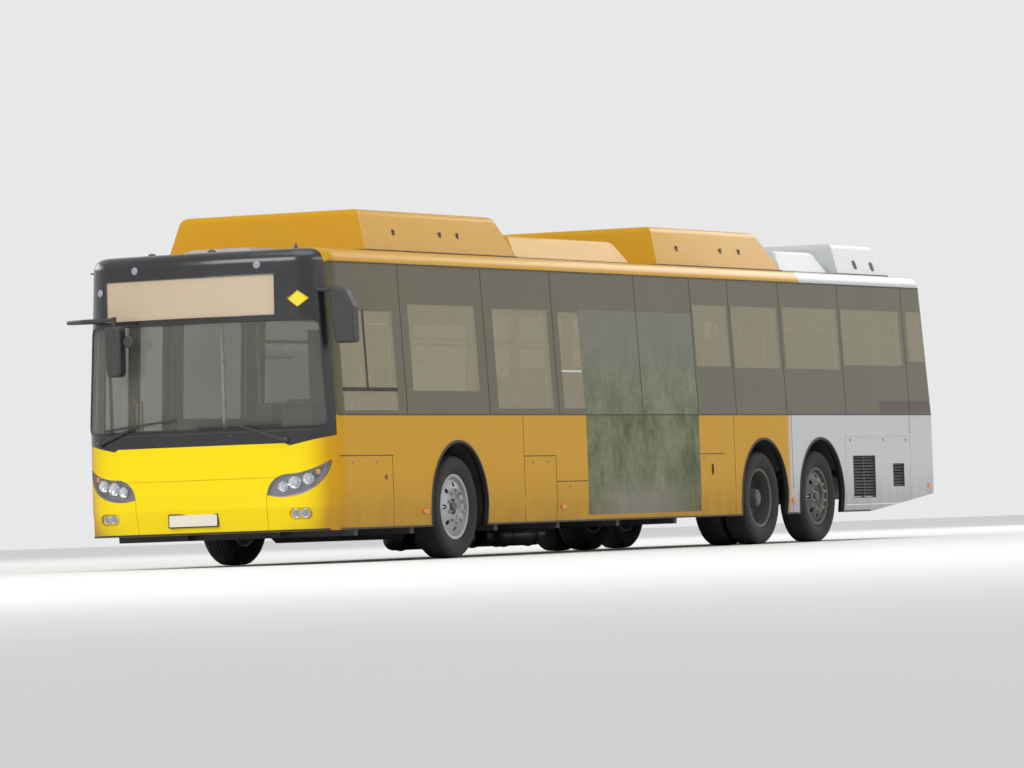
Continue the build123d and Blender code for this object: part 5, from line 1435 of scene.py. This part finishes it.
class BUS_OT_roof_trim(Operator):
    """Make the covers' seams, latches and vents, the hatches and the antennas"""

    bl_idname = "bus.roof_trim"
    bl_label = "Roof trim"

    def execute(self, context):
        feet = []
        for front, rear, top_z, base, top in COVERS:
            z = ROOF_Z + 0.012
            xs = [behind(front + 0.01 + (rear - front - 0.02) * k / 6) for k in range(7)]
            for side in (1, -1):
                y = side * (cover_y(z, top_z, base, top) + 0.004)
                feet.append((add_tube, [(x, y, z) for x in xs], 0.008, 6))
            half = base - 0.01
            for x in (behind(front) + 0.002, behind(rear) - 0.002):
                path = [(x, -half + 2 * half * k / 6, ROOF_Z + 0.010) for k in range(7)]
                feet.append((add_tube, path, 0.008, 6))
        build("cover_feet", "seal_rubber", feet)

        latches = ((0.39, 3.232), (0.77, 3.232), (7.02, 3.240), (7.50, 3.240), (-0.6, 3.232), (5.9, 3.240))
        build("cover_latches", "handle_black", [
            (add_block, (behind(place), side * (cover_y(3.022, top_z) + 0.002), 3.022),
             (0.022, 0.006, 0.028), 0.003)
            for place, top_z in latches for side in (1, -1)])
        build("cover_vents", "vent_dark", [
            part for place, z in ((10.64, 2.955), (11.12, 2.945)) for side in (1, -1)
            for part in cover_vent(place, z, side)])

        hatches = []
        for place, half in ((-1.90, 0.36), (5.03, 0.19)):
            hatches.append((add_block, (behind(place), 0, ROOF_Z + 0.0125), (half, 0.34, 0.0175), 0.012))
            hatches.append((add_block, (behind(place), 0, ROOF_Z + 0.036), (half - 0.04, 0.30, 0.010), 0.014))
        build("roof_hatches", "hatch_grey", hatches)

        mast = ((0, 0.030), (0.020, 0.030), (0.034, 0.024), (0.050, 0.012), (0.075, 0.006), (0.078, 0.0))
        puck = ((0, 0.050), (0.016, 0.050), (0.030, 0.042), (0.045, 0.026), (0.052, 0.0))
        build("antennas", "antenna_black", [
            (add_turned, (behind(-2.36), 0.853, ROOF_Z - 0.02), (0, 0, 1), mast, 24),
            *[(add_turned, (behind(place), across, ROOF_Z - 0.012), (0, 0, 1), puck, 28)
              for place, across in ((-2.36, 0.0), (-2.20, -0.70), (11.90, 0.30))]])
        return {"FINISHED"}


def add_cushion(mesh, corner, across, along, push, size, crown):
    """Adds a crowned pad with pulled-in sides and two sewn channels, from a corner and three directions."""
    steps = 12
    width, depth, thick = size
    across, along, push = Vector(across) * width, Vector(along) * depth, Vector(push)

    def place(u, v, top):
        """A point of the pad's face or of its back."""
        su = u * (1 - 0.014 * (1 - v * v))
        sv = v * (1 - 0.014 * (1 - u * u))
        edge = max((1 - abs(u) ** 4) * (1 - abs(v) ** 4), 0)
        height = 0.35 * thick - 0.30 * thick * edge**0.35
        if top:
            height = 0.35 * thick + 0.65 * thick * edge**0.35 + crown * (1 - u * u) * (1 - v * v)
            height -= 0.010 * max(0, 1 - abs(abs(v) - 0.42) * 9) * edge
        return Vector(corner) + across * (su + 1) / 2 + along * (sv + 1) / 2 + push * height

    grids = [
        [[mesh.verts.new(place(2 * i / steps - 1, 2 * j / steps - 1, top)) for i in range(steps + 1)]
         for j in range(steps + 1)]
        for top in (True, False)
    ]
    for top, grid in zip((True, False), grids):
        for j in range(steps):
            for i in range(steps):
                face = (grid[j][i], grid[j][i + 1], grid[j + 1][i + 1], grid[j + 1][i])
                mesh.faces.new(face if top else tuple(reversed(face)))
    rim = [(0, i) for i in range(steps)] + [(j, steps) for j in range(steps)]
    rim += [(steps, i) for i in range(steps, 0, -1)] + [(j, 0) for j in range(steps, 0, -1)]
    add_tube(mesh, [grids[0][j][i].co.copy() for j, i in rim], 0.0035, 6, True)


class BUS_OT_seat_pads(Operator):
    """Make the seats' padded cushions and backs, and their grab handles"""

    bl_idname = "bus.seat_pads"
    bl_label = "Seat pads"

    def execute(self, context):
        cloth_finish()
        lean = Vector((-0.105, 0, 0.600)).normalized()
        ahead = Vector((lean.z, 0, -lean.x))
        forward = Vector((0.365, 0, -0.030)).normalized()
        soft = ("root", "seat_fabric", 60.0)
        loops = []
        for number, (front, inner, outer, side, floor_z, places) in enumerate(BENCHES, 1):
            step = (outer - inner) / places
            width = step - 0.024
            for place in range(places):
                low = inner + place * step + 0.012
                y = low if side > 0 else -(low + width)
                seat = Vector((behind(front + 0.392), y, floor_z + 0.500))
                back = Vector((behind(front + 0.412), y, floor_z + 0.565)) + ahead * 0.001
                upright, number_of = (0, 0, 1), f"{number}_{place + 1}"
                seat_piece = build("seat_pad_" + number_of, "seat_cloth", [
                    (add_cushion, seat, (0, 1, 0), forward, upright, (width, 0.372, 0.042), 0.014)], *soft)
                back_piece = build("back_pad_" + number_of, "seat_cloth", [
                    (add_cushion, back, (0, 1, 0), lean, ahead, (width, 0.505, 0.036), 0.012)], *soft)
            if places == 2 and inner > 0.1:
                base = Vector((behind(front + 0.532), side * (inner + 0.03), floor_z + 1.085))
                bends = ((0, -0.10), (0, 0.03), (0.03, 0.065), (0.12, 0.07), (0.15, 0.035), (0.15, -0.02))
                loop = [base + Vector((0, side * off, rise)) for off, rise in bends]
                loops.append((add_tube, loop, 0.012, 10))
        build("seat_grab_handles", "rail_paint", loops)
        return {"FINISHED"}


class BUS_OT_cabin(Operator):
    """Make the ceiling lamps, poles' buttons, driver's place and the screens inside"""

    bl_idname = "bus.cabin"
    bl_label = "Cabin"

    def execute(self, context):
        ceiling = ROOF_Z - 0.060
        build("ceiling_lamps", "diffuser_white", [
            (add_block, (behind(0.17 + part * 2.1), side * 0.66, ceiling - 0.0175),
             (1.02, 0.07, 0.0175), 0.012)
            for side in (1, -1) for part in range(6)])
        buttons, knob = [], ((0, 0.017), (0.007, 0.016), (0.009, 0.0))
        for place, side in BUTTON_POLES:
            x, y, z = behind(place), side * 0.42, 1.45 if place < 5.5 else 1.85
            buttons.append((add_block, (x, y, z), (0.028, 0.030, 0.045), 0.010))
            buttons.append((add_turned, (x + 0.026, y, z), (1, 0, 0), knob, 16))
        build("stop_buttons", "button_red", buttons)
        glass_finish("cab_screen_glass", (0.5, 0.52, 0.5), 0.18)
        build("cab_screens", "cab_screen_glass", [
            (add_box, (behind(-0.93), 0.26, 1.50), (behind(-0.93) + 0.006, 1.18, 2.14), 0.002),
            (add_box, (behind(-1.85), 0.252, 1.49), (behind(-1.02), 0.258, 1.95), 0.002)])
        dial = ((0, 0.010), (0.010, 0.009), (0.012, 0.0))
        build("driver_instruments", "console_black", [
            (add_box, (behind(-2.16), 0.58, 1.255), (behind(-2.22), 0.88, 1.40), 0.012),
            (add_box, (behind(-2.02), 0.30, 1.20), (behind(-2.14), 0.44, 1.46), 0.012),
            (add_box, (behind(-1.90), 0.18, 1.10), (behind(-2.02), 0.28, 1.36), 0.012),
            *[(add_turned, (behind(-2.10), 0.96 + k * 0.035, 1.262), (0, 0, 1), dial, 12) for k in range(6)]])
        rails = (
            ((-2.42, 0.10, 0.50), (-2.42, 0.10, 1.30), (-2.42, 0.10, 2.74)),
            ((-2.42, -0.75, 1.05), (-2.40, -0.20, 1.05), (-2.42, 0.10, 1.05)),
            ((-2.42, -0.75, 0.50), (-2.42, -0.75, 1.05)),
        )
        build("entry_rails", "bright_trim", [
            (add_tube, [(behind(place), y, z) for place, y, z in rail], 0.016, 10) for rail in rails])
        build("display_box", "cab_panel_pale", [
            (add_box, (behind(-2.21), -0.46, 2.24), (behind(-2.44), 0.90, 2.70), 0.03)])
        return {"FINISHED"}


class BUS_OT_underbody(Operator):
    """Make the air tanks, the drive shaft, the pipes and the brake chambers below"""

    bl_idname = "bus.underbody"
    bl_label = "Underbody"

    def execute(self, context):
        forward, left, up = Vector((1, 0, 0)), Vector((0, 1, 0)), Vector((0, 0, 1))
        tank = ((0, 0.0), (0.004, 0.05), (0.020, 0.095), (0.045, 0.112), (0.92, 0.112), (0.945, 0.095),
                (0.961, 0.05), (0.965, 0.0))
        tanks = []
        for place, y in ((1.45, 0.17), (1.45, -0.17), (3.05, 0.17), (3.05, -0.17)):
            tanks.append((add_turned, (behind(place + 0.965), y, 0.195), forward, tank, 28))
            for along in (0.20, 0.76):
                x = behind(place + along)
                tanks.append((add_tube, ring(Vector((x, y, 0.195)), left, up, 0.116, 24), 0.006, 6, True))
                tanks.append((add_block, (x, y, 0.309), (0.02, 0.03, 0.009), 0.003))
        build("air_tanks", "tank_black", tanks)

        start, end = Vector((behind(9.76), 0, 0.640)), Vector((behind(7.40), 0, 0.600))
        length = (end - start).length
        rows = ((0, 0.062), (0.03, 0.062), (0.05, 0.040), (0.12, 0.040), (0.14, 0.050), (length - 0.2, 0.050),
                (length - 0.18, 0.040), (length - 0.08, 0.040), (length - 0.06, 0.058), (length, 0.058))
        build("drive_shaft", "axle_iron", [(add_turned, start, end - start, rows, 28)])
        build("air_pipes", "pipe_black", [
            (add_tube, [(behind(-1.9 + 0.35 * k), y, 0.312 - 0.002 * (k % 2)) for k in range(20)], radius, 6)
            for y, radius in ((0.30, 0.008), (0.325, 0.008), (0.35, 0.011), (-0.33, 0.008))])
        rows = ((0, 0.0), (0.002, 0.055), (0.012, 0.070), (0.06, 0.075), (0.065, 0.080), (0.075, 0.080),
                (0.08, 0.075), (0.14, 0.070), (0.155, 0.05), (0.157, 0.0))
        build("brake_chambers", "tank_black", [
            (add_turned, (axle_x - 0.26, side * 0.36, height), forward, rows, 24)
            for axle_x, height in ((DRIVE_AXLE_X, 0.58), (TAG_AXLE_X, 0.48)) for side in (1, -1)])
        return {"FINISHED"}


def add_edge_rubber(mesh, edge, way):
    """Adds the rubber down a door leaf's meeting edge."""
    sill, head, gap = 0.383, 2.322, -way * 0.0165
    section = ((0, 0.034), (0, 0.006), (0.7, 0.009), (1, 0.020), (0.7, 0.031))
    heights = [sill + (head - sill) * step / 14 for step in range(15)]
    add_loft(mesh, [
        [(behind(edge) + gap * share, -(side_at(z) - deep), z) for share, deep in section] for z in heights
    ])


class BUS_OT_door_trim(Operator):
    """Make the doors' edge rubbers, grab rails and the frames of the sliding windows"""

    bl_idname = "bus.door_trim"
    bl_label = "Door trim"

    def execute(self, context):
        bends = (
            # height that sets the place, into the doorway, height
            (0.95, -0.037, 0.95), (0.97, 0, 0.965), (1.0, 0, 1.0), (1.5, 0, 1.50), (1.53, 0, 1.535),
            (1.55, -0.037, 1.55))
        for door, middle in (("front_door", -2.280 + 0.650), ("middle_door", 2.600 + 0.650)):
            for end, way in (("_front", 1), ("_rear", -1)):
                body, edge = door + end, middle - way * 0.018
                build(body + "_edge_rubber", "seal_rubber", [(add_edge_rubber, edge, way)], body)
                x = behind(edge - way * 0.035)
                rail = [(x, -(side_at(at) - 0.075) + shift, z) for at, shift, z in bends]
                build(body + "_grab_rail", "rail_paint", [(add_tube, rail, 0.011, 8)], body)
        build("driver_window_bars", "joint_black", [
            (add_side_band, 1, -1.83, -1.83, 1.56, 2.28, 0.034, 0.002),
            (add_side_band, 1, -2.34, -1.22, 1.56, 1.56, 0.034, 0.002)])
        rails = ((1, 2.39, 2.85, 1.75), (-1, 0.94, 1.62, 1.98), (-1, 4.16, 4.8, 1.96))
        build("sliding_window_rails", "bright_trim", [
            (add_side_band, side, front, rear, z, z, 0.018, 0.003) for side, front, rear, z in rails])
        return {"FINISHED"}


class BUS_PT_panel(Panel):
    """Buttons for the bus's pieces"""

    bl_idname = "BUS_PT_panel"
    bl_label = "City bus"
    bl_space_type = "VIEW_3D"
    bl_region_type = "UI"
    bl_category = "City bus"

    def draw(self, context):
        layout = self.layout
        for settings in (context.scene.bus_colours, context.scene.bus_sizes):
            for name in settings.__annotations__:
                layout.prop(settings, name)
        for operator in OPERATORS:
            layout.operator(operator.bl_idname)


OPERATORS = (
    BUS_OT_stage, BUS_OT_finishes, BUS_OT_tyres, BUS_OT_wheel_trim, BUS_OT_seals, BUS_OT_side_trim,
    BUS_OT_headlamps, BUS_OT_nose_trim, BUS_OT_mirror_glasses, BUS_OT_rear_trim, BUS_OT_roof_trim,
    BUS_OT_seat_pads, BUS_OT_cabin, BUS_OT_underbody, BUS_OT_door_trim,
)
CLASSES = (BusColours, BusSizes, *OPERATORS, BUS_PT_panel)


def register():
    """Registers the settings, the operators and the panel."""
    for item in CLASSES:
        bpy.utils.register_class(item)
    bpy.types.Scene.bus_colours = PointerProperty(type=BusColours)
    bpy.types.Scene.bus_sizes = PointerProperty(type=BusSizes)


def unregister():
    """Takes them away again."""
    del bpy.types.Scene.bus_sizes
    del bpy.types.Scene.bus_colours
    for item in reversed(CLASSES):
        bpy.utils.unregister_class(item)


def main():
    """Builds the whole dressed bus and keeps both boxes."""
    register()
    for operator in OPERATORS:
        group, name = operator.bl_idname.split(".")
        getattr(getattr(bpy.ops, group), name)()


if __name__ == "__main__":
    main()
